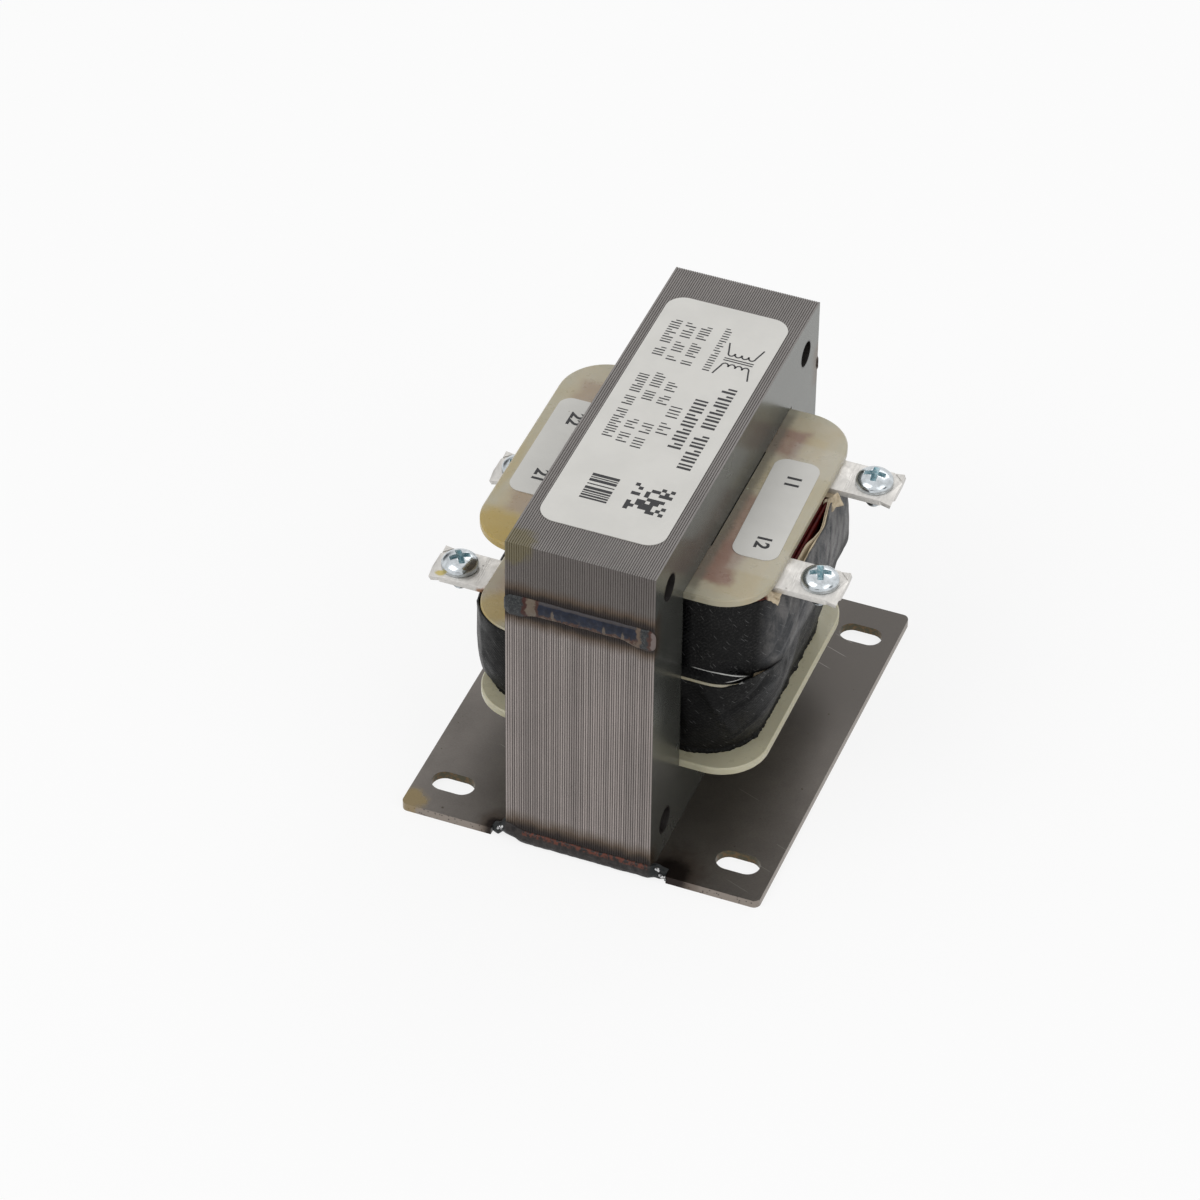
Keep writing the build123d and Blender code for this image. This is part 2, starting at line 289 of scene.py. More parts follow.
def stretched(tree, place, scale, detail=3.0, rough=0.6):
    """Noise with its own scale along each axis."""
    return cloud(tree, move(tree, "MULTIPLY", place, scale), 1.0, detail, rough)


def place_mm(tree):
    """Object coordinates in millimetres."""
    return scaled(tree, put(tree, "TexCoord").outputs["Object"], 1 / MM)


def part_of(tree, place, axis):
    """One coordinate of a place."""
    return put(tree, "SeparateXYZ", {0: place}).outputs[axis]


def facing(tree, axis):
    """How squarely a face looks along an axis, from -1 to 1."""
    return part_of(tree, put(tree, "NewGeometry").outputs["True Normal"], axis)


def new_group(name, given, result):
    """A node group with named inputs, given as (name, kind, default), and named outputs, as (name, kind)."""
    tree = bpy.data.node_groups.new(name, "ShaderNodeTree")
    for label, kind, value in given:
        socket = tree.interface.new_socket(name=label, in_out="INPUT", socket_type="NodeSocket" + kind)
        socket.default_value = value
    for label, kind in result:
        tree.interface.new_socket(name=label, in_out="OUTPUT", socket_type="NodeSocket" + kind)
    return tree, put(tree, "NodeGroupInput").outputs


def shared(build):
    """The node group that a function builds, made the first time it is asked for."""
    return bpy.data.node_groups.get(build.__name__) or build(build.__name__)


def use(tree, build, **sockets):
    """A shared node group placed in a tree; underscores in a socket's name stand for spaces."""
    named = {name.replace("_", " "): value for name, value in sockets.items()}
    return put(tree, "Group", named, node_tree=shared(build)).outputs


def mask_of(tree, build, place, **sockets):
    """The mask that a shared node group gives at a place."""
    return use(tree, build, Place=place, **sockets)["Mask"]


PLACE_INPUT = ("Place", "Vector", (0, 0, 0))


def spot(name):
    """Mask of a rounded spot: 1 inside its reach along each axis, with a soft and ragged edge."""
    tree, given = new_group(name, [PLACE_INPUT, ("Centre", "Vector", (0, 0, 0)),
                                   ("Reach", "Vector", (1, 1, 1)), ("Edge", "Float", 0.3),
                                   ("Ragged", "Float", 0.4), ("Grain", "Float", 0.8)], [("Mask", "Float")])
    away = move(tree, "SUBTRACT", given["Place"], given["Centre"])
    away = move(tree, "DIVIDE", away, given["Reach"])
    far = put(tree, "VectorMath", {0: away}, operation="LENGTH").outputs["Value"]
    far = roughened(tree, far, cloud(tree, given["Place"], given["Grain"], 4.0), given["Ragged"])
    outer = calc(tree, "ADD", 1.0, given["Edge"])
    mask = fade_out(tree, far, inverse(tree, given["Edge"]), outer)
    put(tree, "NodeGroupOutput", {"Mask": mask})
    return tree


def block(name):
    """Mask of a straight-sided block: 1 inside its half sizes, with a soft and ragged edge."""
    tree, given = new_group(name, [PLACE_INPUT, ("Centre", "Vector", (0, 0, 0)),
                                   ("Half", "Vector", (1, 1, 1)), ("Edge", "Float", 0.3),
                                   ("Ragged", "Float", 0.0), ("Grain", "Float", 0.8)], [("Mask", "Float")])
    away = move(tree, "ABSOLUTE", move(tree, "SUBTRACT", given["Place"], given["Centre"]))
    away = put(tree, "SeparateXYZ", {0: move(tree, "SUBTRACT", away, given["Half"])}).outputs
    far = calc(tree, "MAXIMUM", calc(tree, "MAXIMUM", away[0], away[1]), away[2])
    far = roughened(tree, far, cloud(tree, given["Place"], given["Grain"], 4.0), given["Ragged"])
    mask = fade_out(tree, far, calc(tree, "MULTIPLY", given["Edge"], -1.0), given["Edge"])
    put(tree, "NodeGroupOutput", {"Mask": mask})
    return tree


def sheet_lines(name):
    """Tone of each sheet's edge across a stack, streaks along it, and the dark gap between sheets."""
    tree, given = new_group(name, [PLACE_INPUT, ("Pitch", "Float", 0.5), ("Streak", "Float", 0.12)],
                            [("Tone", "Float"), ("Gap", "Float")])
    across = calc(tree, "DIVIDE", part_of(tree, given["Place"], "X"), given["Pitch"])
    sheet = calc(tree, "FLOOR", across)
    single = put(tree, "TexWhiteNoise", {"W": sheet}, noise_dimensions="1D").outputs["Value"]
    slow = move(tree, "MULTIPLY", given["Place"], (0.9, 0.02, 0.16))
    along = cloud(tree, slow, 3.0)
    tone = roughened(tree, single, along, given["Streak"])
    inside = calc(tree, "ABSOLUTE", calc(tree, "SUBTRACT", calc(tree, "FRACT", across), 0.5))
    gap = fade(tree, inside, 0.30, 0.46)
    put(tree, "NodeGroupOutput", {"Tone": tone, "Gap": gap})
    return tree


def rolled_grain(name):
    """Fine grain of rolled steel, longer along the rolling direction, and wide faint clouds."""
    tree, given = new_group(name, [PLACE_INPUT, ("Stretch", "Vector", (2.0, 9.0, 2.0)),
                                   ("Cloud size", "Float", 12.0)],
                            [("Grain", "Float"), ("Clouds", "Float")])
    grain = cloud(tree, move(tree, "MULTIPLY", given["Place"], given["Stretch"]), 1.0, 4.0, 0.7)
    clouds = cloud(tree, given["Place"], calc(tree, "DIVIDE", 1.0, given["Cloud size"]), 4.0, 0.6)
    put(tree, "NodeGroupOutput", {"Grain": grain, "Clouds": clouds})
    return tree


def specks(name):
    """Mask of small scattered specks: cell size in mm, the share of cells that have one, and their reach."""
    tree, given = new_group(name, [PLACE_INPUT, ("Cell", "Float", 1.0), ("Share", "Float", 0.3),
                                   ("Reach", "Float", 0.25)], [("Mask", "Float")])
    scale = calc(tree, "DIVIDE", 1.0, given["Cell"])
    cells = put(tree, "TexVoronoi", {"Vector": given["Place"], "Scale": scale})
    luck = put(tree, "SeparateColor", {0: cells.outputs["Color"]}).outputs
    size = calc(tree, "MULTIPLY", given["Reach"], luck[1])
    dot = fade_out(tree, cells.outputs["Distance"], calc(tree, "MULTIPLY", size, 0.6), size)
    there = calc(tree, "LESS_THAN", luck[0], given["Share"])
    put(tree, "NodeGroupOutput", {"Mask": calc(tree, "MULTIPLY", dot, there)})
    return tree


def scratches(name):
    """Mask of a few fine scratches: stretched cells cut to thin lines that lie along one direction."""
    tree, given = new_group(name, [PLACE_INPUT, ("Turn", "Vector", (0, 0, 0)), ("Length", "Float", 8.0),
                                   ("Width", "Float", 0.08), ("Share", "Float", 0.2)],
                            [("Mask", "Float")])
    turned = put(tree, "VectorRotate", {"Vector": given["Place"], "Rotation": given["Turn"]},
                 rotation_type="EULER_XYZ").outputs[0]
    shorter = calc(tree, "DIVIDE", 1.0, given["Length"])
    squeeze = put(tree, "CombineXYZ", {0: shorter, 1: 1.0, 2: 1.0}).outputs[0]
    cells = put(tree, "TexVoronoi", {"Vector": move(tree, "MULTIPLY", turned, squeeze), "Scale": 0.45})
    nearest = move(tree, "DIVIDE", cells.outputs["Position"], squeeze)
    off = put(tree, "SeparateXYZ", {0: move(tree, "SUBTRACT", turned, nearest)}).outputs
    line = fade_out(tree, calc(tree, "ABSOLUTE", off[1]), 0.0, given["Width"])
    ends = fade_out(tree, calc(tree, "ABSOLUTE", off[0]), calc(tree, "MULTIPLY", given["Length"], 0.25),
                    calc(tree, "MULTIPLY", given["Length"], 0.5))
    luck = put(tree, "SeparateColor", {0: cells.outputs["Color"]}).outputs[0]
    there = calc(tree, "LESS_THAN", luck, given["Share"])
    put(tree, "NodeGroupOutput", {"Mask": product(tree, line, ends, there)})
    return tree


def weave(name):
    """Plain cloth weave on a flat map in millimetres: thread height, and lint lying across the threads."""
    tree, given = new_group(name, [("Flat", "Vector", (0, 0, 0)), ("Thread", "Float", 0.42)],
                            [("Height", "Float"), ("Lint", "Float")])
    flat = put(tree, "SeparateXYZ", {0: given["Flat"]}).outputs
    turn = calc(tree, "DIVIDE", math.pi, given["Thread"])
    warp = calc(tree, "SINE", calc(tree, "MULTIPLY", flat[0], turn))
    weft = calc(tree, "SINE", calc(tree, "MULTIPLY", flat[1], turn))
    height = calc(tree, "MULTIPLY_ADD", calc(tree, "MULTIPLY", warp, weft), 0.5, 0.5)
    lint = cloud(tree, given["Flat"], calc(tree, "DIVIDE", 1.1, given["Thread"]), 3.0, 0.8)
    put(tree, "NodeGroupOutput", {"Height": height, "Lint": fade(tree, lint, 0.5, 0.72)})
    return tree


def material(name, metallic=0.0, roughness=0.5, **constants):
    """A material with its tree, shader and place; constants are sockets that are the same all over it."""
    made = bpy.data.materials.new(name)
    made.use_nodes = True
    tree = made.node_tree
    shader = tree.nodes["Principled BSDF"]
    shader.inputs["Metallic"].default_value = metallic
    shader.inputs["Roughness"].default_value = roughness
    for label, value in constants.items():
        shader.inputs[label.replace("_", " ")].default_value = value
    return made, tree, shader, place_mm(tree)


def feed(tree, shader, **outputs):
    """Links outputs to the shader's sockets; underscores stand for spaces."""
    for label, value in outputs.items():
        tree.links.new(value, shader.inputs[label.replace("_", " ")])


def bump(tree, height, distance):
    """A bump of the given depth in millimetres."""
    return put(tree, "Bump", {"Height": height, "Distance": distance * MM}).outputs[0]


# Finishes of the core and its welds

def heat_from(tree, place, edge, reach, side):
    """Burnt and tinted masks of steel beside a weld's edge, above it (side 1) or below it (side -1)."""
    height = calc(tree, "SUBTRACT", part_of(tree, place, "Z"), edge)
    far = calc(tree, "DIVIDE", height, side * reach)
    far = roughened(tree, far, stretched(tree, place, (0.35, 0.35, 0.15)), 0.7)
    near_end = fade(tree, calc(tree, "ABSOLUTE", part_of(tree, place, "Y")), FACE_Y - 5.0, FACE_Y - 0.4)
    return [product(tree, fade_out(tree, far, start, end), near_end)
            for start, end in ((0.16, 0.72), (0.42, 1.3))]


def laminated_finish(name, settings, edges, top_edges, contrast, bolt_level, welds, stained=False):
    """Laminated steel: fine sheet edges at the ends and on top, and coated flat faces on the sides."""
    made, tree, shader, place = material(name)
    lines = use(tree, sheet_lines, Place=place, Pitch=settings.pitch)
    grain = use(tree, rolled_grain, Place=place, Stretch=(1.5, 6.0, 1.5), Cloud_size=14.0)
    cut = stretched(tree, place, (7.0, 3.0, 3.0), 3.0, 0.7)
    shade = product(tree, fade(tree, lines["Tone"], 0.05, 0.95, 1 - 0.2 * contrast, 1 + 0.2 * contrast),
                    fade(tree, cut, 0.25, 0.75, 0.80, 1.20),
                    fade(tree, grain["Clouds"], 0.3, 0.7, 0.94, 1.06),
                    fade(tree, lines["Gap"], 0.0, 1.0, 1 + 0.25 * contrast, 1 - contrast))
    on_top = fade(tree, facing(tree, "Z"), 0.6, 0.8)
    edge_colour = scaled(tree, mix(tree, on_top, edges, top_edges), shade)
    side_shade = product(tree, fade(tree, grain["Grain"], 0.3, 0.7, 0.93, 1.07),
                         fade(tree, grain["Clouds"], 0.3, 0.7, 0.85, 1.12))
    side_colour = scaled(tree, settings.side, side_shade)
    marks = mask_of(tree, scratches, place, Turn=(0.9, 0, 1.5708), Length=9.0, Width=0.09, Share=0.16)
    side_colour = coat(tree, side_colour, (0.30, 0.30, 0.29), marks, 0.35)
    sideways = calc(tree, "ABSOLUTE", facing(tree, "X"))
    side = fade(tree, sideways, 0.9, 0.98)
    base = mix(tree, side, edge_colour, side_colour)
    rough = roughened(tree, calc(tree, "MULTIPLY_ADD", side, -0.24, 0.5), grain["Clouds"], 0.10)
    metal = calc(tree, "MULTIPLY_ADD", side, 0.3, 0.4)
    for edge, reach, way in welds:
        burnt, tinted = heat_from(tree, place, edge, reach, way)
        burnt = product(tree, burnt, inverse(tree, side))
        base = coat(tree, base, settings.straw, tinted, 0.9)
        base = mix(tree, burnt, base, settings.burnt)
        rough = calc(tree, "MULTIPLY_ADD", burnt, 0.3, rough)
        metal = product(tree, metal, inverse(tree, calc(tree, "MULTIPLY", burnt, 0.8)))
    inset = CORE_TOP - bolt_level if bolt_level > JOINT_LEVEL else bolt_level - PLATE[1].z
    # Painted shade: the bolt holes are painted near black inside, where shade falls in them.
    for y in (-FACE_Y + inset, FACE_Y - inset):
        painted_hole_shade = mask_of(tree, spot, place, Centre=(0, y, bolt_level), Reach=(999, BOLT_RADIUS, BOLT_RADIUS),
                       Edge=0.04, Ragged=0.0)
        base = coat(tree, base, (0.012, 0.010, 0.009), painted_hole_shade, 0.93)
    if stained:
        stain = mask_of(tree, spot, place, Centre=(-SIDE_X + 1.2, -FACE_Y + 0.6, CORE_TOP - 0.5),
                        Reach=(4.6, 4.4, 4.8), Edge=0.25, Ragged=0.8, Grain=0.5)
        base = coat(tree, base, (0.125, 0.103, 0.042), stain, 0.8)
        metal = product(tree, metal, inverse(tree, stain))
        rough = calc(tree, "MULTIPLY_ADD", stain, -0.14, rough)
    end = fade(tree, sideways, 0.9, 0.98, 1.0, 0.03)
    feed(tree, shader, Base_Color=base, Roughness=rough, Metallic=metal,
         Normal=bump(tree, product(tree, cut, end), 0.03))
    return made


def e_stack_finish(settings):
    """E sheets, burnt under the upper bead and over the lower one."""
    welds = ((JOINT_LEVEL - 1.8, 3.6, -1), (PLATE[1].z + 1.7, 4.6, 1))
    return laminated_finish("e_sheets", settings, settings.edges, settings.edges, contrast=0.8,
                            bolt_level=E_BOLT_LEVEL, welds=welds)


def i_stack_finish(settings):
    """I sheets, burnt over the upper bead, with a varnish stain on the front left corner."""
    return laminated_finish("i_sheets", settings, settings.yoke_edges, settings.yoke_top, contrast=0.16,
                            bolt_level=I_BOLT_LEVEL, welds=((JOINT_LEVEL + 2.4, 3.4, 1),), stained=True)


def plate_finish(settings):
    """Cold-rolled plate: fine grain, heat marks beside the welds, a few scratches, specks and varnish."""
    made, tree, shader, place = material("plate_steel", metallic=0.85, roughness=0.40)
    grain = use(tree, rolled_grain, Place=place, Stretch=(2.2, 7.0, 2.0), Cloud_size=16.0)
    shade = calc(tree, "MULTIPLY", fade(tree, grain["Grain"], 0.25, 0.75, 0.86, 1.14),
                 fade(tree, grain["Clouds"], 0.3, 0.7, 0.90, 1.10))
    base = scaled(tree, settings.plate, shade)
    sides = put(tree, "SeparateXYZ", {0: place}).outputs
    # Painted shade: the right and back part of the plate is painted darker, at 0.6 of its colour.
    shaded = calc(tree, "MULTIPLY", fade(tree, sides[0], 0.0, 30.0), fade(tree, sides[1], -10.0, 20.0))
    base = mix(tree, shaded, base, [0.6 * value for value in settings.plate])
    rim = fade_out(tree, calc(tree, "ABSOLUTE", facing(tree, "Z")), 0.3, 0.7)
    pits = mask_of(tree, specks, place, Cell=0.5, Share=0.35, Reach=0.5)
    rim_colour = mix(tree, pits, (0.27, 0.235, 0.205), (0.06, 0.05, 0.045))
    inner = mask_of(tree, block, place, Half=(PLATE[1].x - 2, PLATE[1].y - 1, 9), Edge=0.5)
    rust = cloud(tree, place, 1.1, 4.0)
    olive = mix(tree, fade(tree, rust, 0.45, 0.62), (0.075, 0.068, 0.045), (0.13, 0.085, 0.045))
    rim_colour = mix(tree, inner, rim_colour, olive)
    base = mix(tree, rim, base, rim_colour)
    for end in (-1, 1):
        for side, reach in ((1, 7.0), (-1, 3.6)):
            centre = (end * -side * (SIDE_X + 1.6 + 0.3 * reach), end * (FACE_Y - 1.2), 1.0)
            tint = mask_of(tree, spot, place, Centre=centre, Reach=(reach, reach + 1.0, 6.0), Edge=0.45,
                           Ragged=0.6, Grain=0.5)
            burnt = mask_of(tree, spot, place, Centre=centre, Reach=(reach * 0.62, reach * 0.62, 9.0),
                            Edge=0.3, Ragged=0.5, Grain=0.6)
            base = coat(tree, base, (0.06, 0.038, 0.026), tint, 0.6)
            base = mix(tree, burnt, base, settings.burnt)
    lines = mask_of(tree, scratches, place, Turn=(0, 0, 0.35), Length=7.0, Width=0.10, Share=0.10)
    base = coat(tree, base, (0.4, 0.38, 0.36), lines, 0.5)
    dots = mask_of(tree, specks, place, Cell=2.4, Share=0.30, Reach=0.14)
    base = coat(tree, base, (0.05, 0.036, 0.022), dots, 0.7)
    varnish = mask_of(tree, spot, place, Centre=(-38.0, -45.6, 1.9), Reach=(3.2, 3.0, 4.0), Edge=0.35,
                      Ragged=1.3, Grain=0.45)
    base = coat(tree, base, (0.27, 0.19, 0.06), varnish, 0.55)
    rough = fade(tree, grain["Grain"], 0.2, 0.8, 0.34, 0.46)
    rough = calc(tree, "MULTIPLY_ADD", varnish, -0.2, rough)
    feed(tree, shader, Base_Color=base, Roughness=rough, Normal=bump(tree, grain["Grain"], 0.012))
    return made


def banded(tree, place, x_low, x_high, ragged):
    """Mask of a stretch along X with ragged ends."""
    along = roughened(tree, part_of(tree, place, "X"), cloud(tree, place, 0.7, 4.0), ragged)
    after = fade(tree, along, x_low - 0.25, x_low + 0.25)
    return calc(tree, "MULTIPLY", after, fade_out(tree, along, x_high - 0.25, x_high + 0.25))


def upper_weld_colour(tree, place, settings, coarse):
    """Blue oxide with brown and beige scale at its foot, and bare silvery ends."""
    level = part_of(tree, place, "Z")
    base = mix(tree, fade(tree, coarse, 0.35, 0.7), settings.oxide, (0.015, 0.020, 0.038))
    height = roughened(tree, level, coarse, 3.6)
    brown = fade_out(tree, height, JOINT_LEVEL - 0.9, JOINT_LEVEL - 0.4)
    base = mix(tree, brown, base, (0.060, 0.027, 0.017))
    beige = fade_out(tree, height, JOINT_LEVEL - 1.5, JOINT_LEVEL - 1.1)
    base = coat(tree, base, settings.scale, beige, 0.7)
    crown = fade(tree, level, JOINT_LEVEL + 1.9, JOINT_LEVEL + 2.15)
    base = coat(tree, base, (0.11, 0.092, 0.08), crown, 0.4)
    for x, z in ((-5.6, -0.3), (5.4, -0.6), (9.4, -0.9)):
        wisp = mask_of(tree, spot, place, Centre=(x, -FACE_Y, JOINT_LEVEL + z), Reach=(0.34, 9, 1.3),
                       Edge=0.3, Ragged=1.1, Grain=1.2)
        base = coat(tree, base, settings.scale, wisp, 0.8)
    fine = cloud(tree, place, 2.6, 4.0, 0.7)
    speckled = mix(tree, fade(tree, fine, 0.42, 0.70), (0.018, 0.020, 0.022), settings.bare)
    for low, high, tone in ((-FAR, -8.6, (0.050, 0.020, 0.013)), (-FAR, -9.3, settings.scale),
                            (-FAR, -11.3, (0.045, 0.014, 0.010)), (-FAR, -12.0, speckled),
                            (12.4, FAR, (0.12, 0.085, 0.062)), (13.2, FAR, speckled),
                            (14.6, FAR, (0.060, 0.027, 0.020)), (15.3, FAR, (0.16, 0.13, 0.12))):
        base = mix(tree, banded(tree, place, low, high, 2.2), base, tone)
    rim = fade(tree, level, JOINT_LEVEL - 2.7, JOINT_LEVEL - 2.1, 0.85, 0.0)
    return mix(tree, rim, base, (0.020, 0.014, 0.012))


def lower_weld_colour(tree, place, settings, coarse):
    """Dark scale with a broken red line along its upper edge."""
    base = mix(tree, fade(tree, coarse, 0.3, 0.75), (0.016, 0.014, 0.014), (0.045, 0.039, 0.037))
    height = calc(tree, "MULTIPLY_ADD", cloud(tree, place, 2.6, 4.0, 0.7), 0.8, part_of(tree, place, "Z"))
    top = fade(tree, height, PLATE[1].z + 1.25, PLATE[1].z + 1.7)
    broken = product(tree, fade(tree, coarse, 0.44, 0.56), banded(tree, place, -12.0, 15.5, 1.0))
    base = coat(tree, base, settings.rust, product(tree, top, broken), 0.7)
    beyond = fade(tree, calc(tree, "ABSOLUTE", part_of(tree, place, "X")), SIDE_X - 0.4, SIDE_X + 0.4)
    return mix(tree, beyond, base, (0.012, 0.014, 0.015))


def weld_finish(settings, name, colour_of):
    """Scaly weld metal, coloured as one of the beads."""
    made, tree, shader, place = material(name, roughness=0.45, Specular_IOR_Level=0.22)
    coarse = cloud(tree, place, 0.9, 5.0, 0.65)
    rough = fade(tree, coarse, 0.3, 0.7, 0.34, 0.54)
    feed(tree, shader, Base_Color=colour_of(tree, place, settings, coarse), Roughness=rough,
         Normal=bump(tree, coarse, 0.10))
    return made


def drip_finish():
    """Bare frozen weld metal."""
    made, tree, shader, place = material("weld_drips", metallic=1.0, roughness=0.3)
    clouds = cloud(tree, place, 1.6, 4.0)
    base = mix(tree, fade(tree, clouds, 0.42, 0.58), (0.10, 0.10, 0.105), (0.62, 0.62, 0.62))
    feed(tree, shader, Base_Color=base)
    return made


# Finishes of the coil

def nylon_finish(settings):
    """Moulded nylon that lets the winding and the straps show through, with varnish on its corners."""
    made, tree, shader, place = material("moulded_nylon", roughness=0.34, Subsurface_Weight=0.15, IOR=1.53,
                                         Subsurface_Radius=(0.0016, 0.0012, 0.0007))
    wide = cloud(tree, place, 0.09)
    base = mix(tree, fade(tree, wide, 0.35, 0.65), settings.nylon, (0.44, 0.395, 0.295))
    top = (TOP_FLANGE[0] + TOP_FLANGE[1]) / 2
    middle = (MID_FLANGE[0] + MID_FLANGE[1]) / 2
    blushes = ((19.2, -19.5, top, 4.2, 6.6, 0.95), (18.6, -12.0, top, 2.2, 14.0, 0.8),
               (19.0, 20.5, top, 3.6, 4.4, 0.9), (-24.5, -17.5, top, 2.6, 3.6, 0.45),
               (-24.5, 20.0, top, 2.6, 4.0, 0.45), (-29.0, -18.0, middle, 4.0, 5.0, 0.35))
    for x, y, z, half_x, half_y, strength in blushes:
        blush = mask_of(tree, block, place, Centre=(x, y, z), Half=(half_x, half_y, 2.0), Edge=1.5,
                        Ragged=4.0, Grain=0.25)
        base = coat(tree, base, settings.blush, blush, strength)
    cream = mask_of(tree, block, place, Centre=(24.9, 20.0, top), Half=(2.4, 3.6, 2.0), Edge=0.8, Ragged=2.0,
                    Grain=0.4)
    base = coat(tree, base, (0.45, 0.37, 0.22), cream, 0.55)
    # Painted shadow: the top flange beside the core is painted darker where the core's shadow falls on it.
    dark = mask_of(tree, block, place, Centre=(0, 0, top), Half=(18.0, FAR, 3.0), Edge=0.9, Ragged=1.4,
                   Grain=0.5)
    base = coat(tree, base, (0.135, 0.120, 0.088), dark, 0.8)
    crumbs = mask_of(tree, specks, place, Cell=0.9, Share=0.45, Reach=0.45)
    there = mask_of(tree, block, place, Centre=(17.2, 3.8, top + 1), Half=(0.6, 4.4, 1.0), Edge=0.4)
    base = coat(tree, base, (0.50, 0.52, 0.38), crumbs, there)
    inner = mask_of(tree, block, place, Centre=(0, 0, 40), Half=(FLANGE_X - 2.4, FLANGE_Y - 2.4, FAR),
                    Edge=0.9, Ragged=0.8, Grain=0.3)
    rim = inverse(tree, inner)
    base = coat(tree, base, (0.385, 0.375, 0.285), rim, 0.35)
    for y in (-16.6, 16.6):
        strap = mask_of(tree, block, place, Centre=(29.0, y, top), Half=(8.0, 4.6, 3.0), Edge=0.7)
        base = coat(tree, base, (0.50, 0.47, 0.40), strap, 0.35)
    # The low flange is given a lighter greenish cream: partly its own colour, partly painted light that
    # lifts the shade it sits in.
    under = mask_of(tree, block, place, Centre=(0, 0, LOW_FLANGE[0]), Half=(FAR, FAR, 4.0), Edge=1.0)
    base = mix(tree, under, base, (0.500, 0.470, 0.335))
    runs = ((-26.4, -27.2, TOP_FLANGE[1], 7.6, 6.2, 1.0), (-25.2, -29.2, TOP_FLANGE[1], 3.6, 2.8, 1.0),
            (-26.6, -25.6, MID_FLANGE[1], 4.6, 4.6, 0.8), (-31.0, -8.0, TOP_FLANGE[1], 1.4, 9.0, 0.35))
    for x, y, z, reach_x, reach_y, strength in runs:
        run = mask_of(tree, spot, place, Centre=(x, y, z), Reach=(reach_x, reach_y, 4.0), Edge=0.4,
                      Ragged=0.7, Grain=0.22)
        base = coat(tree, base, settings.varnish, run, 0.9 * strength)
    dots = mask_of(tree, specks, place, Cell=2.4, Share=0.12, Reach=0.10)
    base = coat(tree, base, (0.12, 0.09, 0.05), dots, 0.5)
    rough = fade(tree, cloud(tree, place, 0.5, 4.0), 0.3, 0.7, 0.26, 0.42)
    feed(tree, shader, Base_Color=base, Roughness=rough, Normal=bump(tree, cloud(tree, place, 0.35), 0.10))
    return made


def enamel_finish(settings):
    """Red enamel on copper wire."""
    made, tree, shader, place = material("red_enamel", roughness=0.45, Specular_IOR_Level=0.12)
    tone = cloud(tree, place, 0.5)
    base = mix(tree, fade(tree, tone, 0.3, 0.7), settings.enamel, (0.040, 0.002, 0.0015))
    feed(tree, shader, Base_Color=base)
    return made


def paper_finish(settings):
    """Insulation paper with faint fibres, darker and redder where varnish soaked in."""
    made, tree, shader, place = material("insulation_paper", roughness=0.62)
    fibres = stretched(tree, place, (1.2, 1.2, 5.0), 4.0, 0.7)
    base = mix(tree, fade(tree, fibres, 0.3, 0.7), settings.paper, (0.52, 0.44, 0.32))
    soaked = fade(tree, cloud(tree, place, 0.25), 0.5, 0.7)
    base = coat(tree, base, (0.32, 0.24, 0.14), soaked, 0.5)
    red = mask_of(tree, spot, place, Centre=(29.6, -25.2, PRIMARY[1].z), Reach=(1.9, 1.9, 3.0), Edge=0.25,
                  Ragged=0.8, Grain=0.8)
    base = mix(tree, red, base, (0.13, 0.02, 0.012))
    feed(tree, shader, Base_Color=base, Normal=bump(tree, fibres, 0.04))
    return made


def lip_line(tree, place, level, x_low, x_high, half):
    """Mask of a thin painted highlight along an edge, at a level that depends on X, on the coil's front."""
    x = part_of(tree, place, "X")
    away = calc(tree, "ABSOLUTE", calc(tree, "SUBTRACT", part_of(tree, place, "Z"), level))
    width = roughened(tree, half, stretched(tree, place, (0.7, 0.7, 0.7)), half)
    line = fade_out(tree, calc(tree, "DIVIDE", away, width), 0.8, 1.2)
    ends = product(tree, fade(tree, x, x_low - 0.5, x_low + 0.8), fade(tree, x, x_high + 0.5, x_high - 0.8))
    front = fade(tree, part_of(tree, place, "Y"), -24.0, -26.0)
    return product(tree, line, ends, front)


def bent_level(tree, x, middle, bend, level):
    """A level along X that bends away on both sides of a middle."""
    step = calc(tree, "SUBTRACT", x, middle)
    return calc(tree, "MULTIPLY_ADD", calc(tree, "MULTIPLY", step, step), bend, level)


def front_folds(tree, place):
    """Masks of painted shade in the folds at the tape's front right corner and in the slot beside the core,
    and of painted highlights along their lip edges.
    """
    x = part_of(tree, place, "X")
    level = part_of(tree, place, "Z")
    first = bent_level(tree, x, 17.5, -0.0089, 44.6)
    second = bent_level(tree, x, 24.4, 0.036, 42.85)
    middle = calc(tree, "DIVIDE", calc(tree, "SUBTRACT", x, 25.0), 3.8)
    high = calc(tree, "MULTIPLY_ADD", calc(tree, "MULTIPLY", middle, middle), -3.4, 3.4)
    over = calc(tree, "SUBTRACT", level, first)
    # Painted shade: the tape is painted near black in a lens over the first lip, in a band just under it and
    # in the slot beside the core.
    painted_shade = calc(tree, "MULTIPLY", fade_out(tree, calc(tree, "SUBTRACT", over, high), -0.25, 0.1),
                fade(tree, over, -0.2, 0.1))
    under = product(tree, fade(tree, over, -1.5, -1.2), fade(tree, over, 0.3, 0.0),
                    fade(tree, x, 30.0, 27.0), fade(tree, x, 14.0, 15.5))
    painted_shade = calc(tree, "MAXIMUM", painted_shade, calc(tree, "MULTIPLY", under, 0.9))
    slot = product(tree, fade(tree, x, 17.5, 16.9), fade(tree, x, 13.0, 14.0), fade(tree, level, 43.5, 44.5))
    painted_shade = calc(tree, "MAXIMUM", painted_shade, slot)
    painted_shade = calc(tree, "MULTIPLY", painted_shade, fade(tree, part_of(tree, place, "Y"), -24.0, -26.0))
    # Painted highlights: thin bright lines along the two lip edges.
    lip_highlights = calc(tree, "MAXIMUM", lip_line(tree, place, first, x_low=17.8, x_high=28.6, half=0.095),
                lip_line(tree, place, second, x_low=25.2, x_high=28.2, half=0.085))
    return painted_shade, lip_highlights


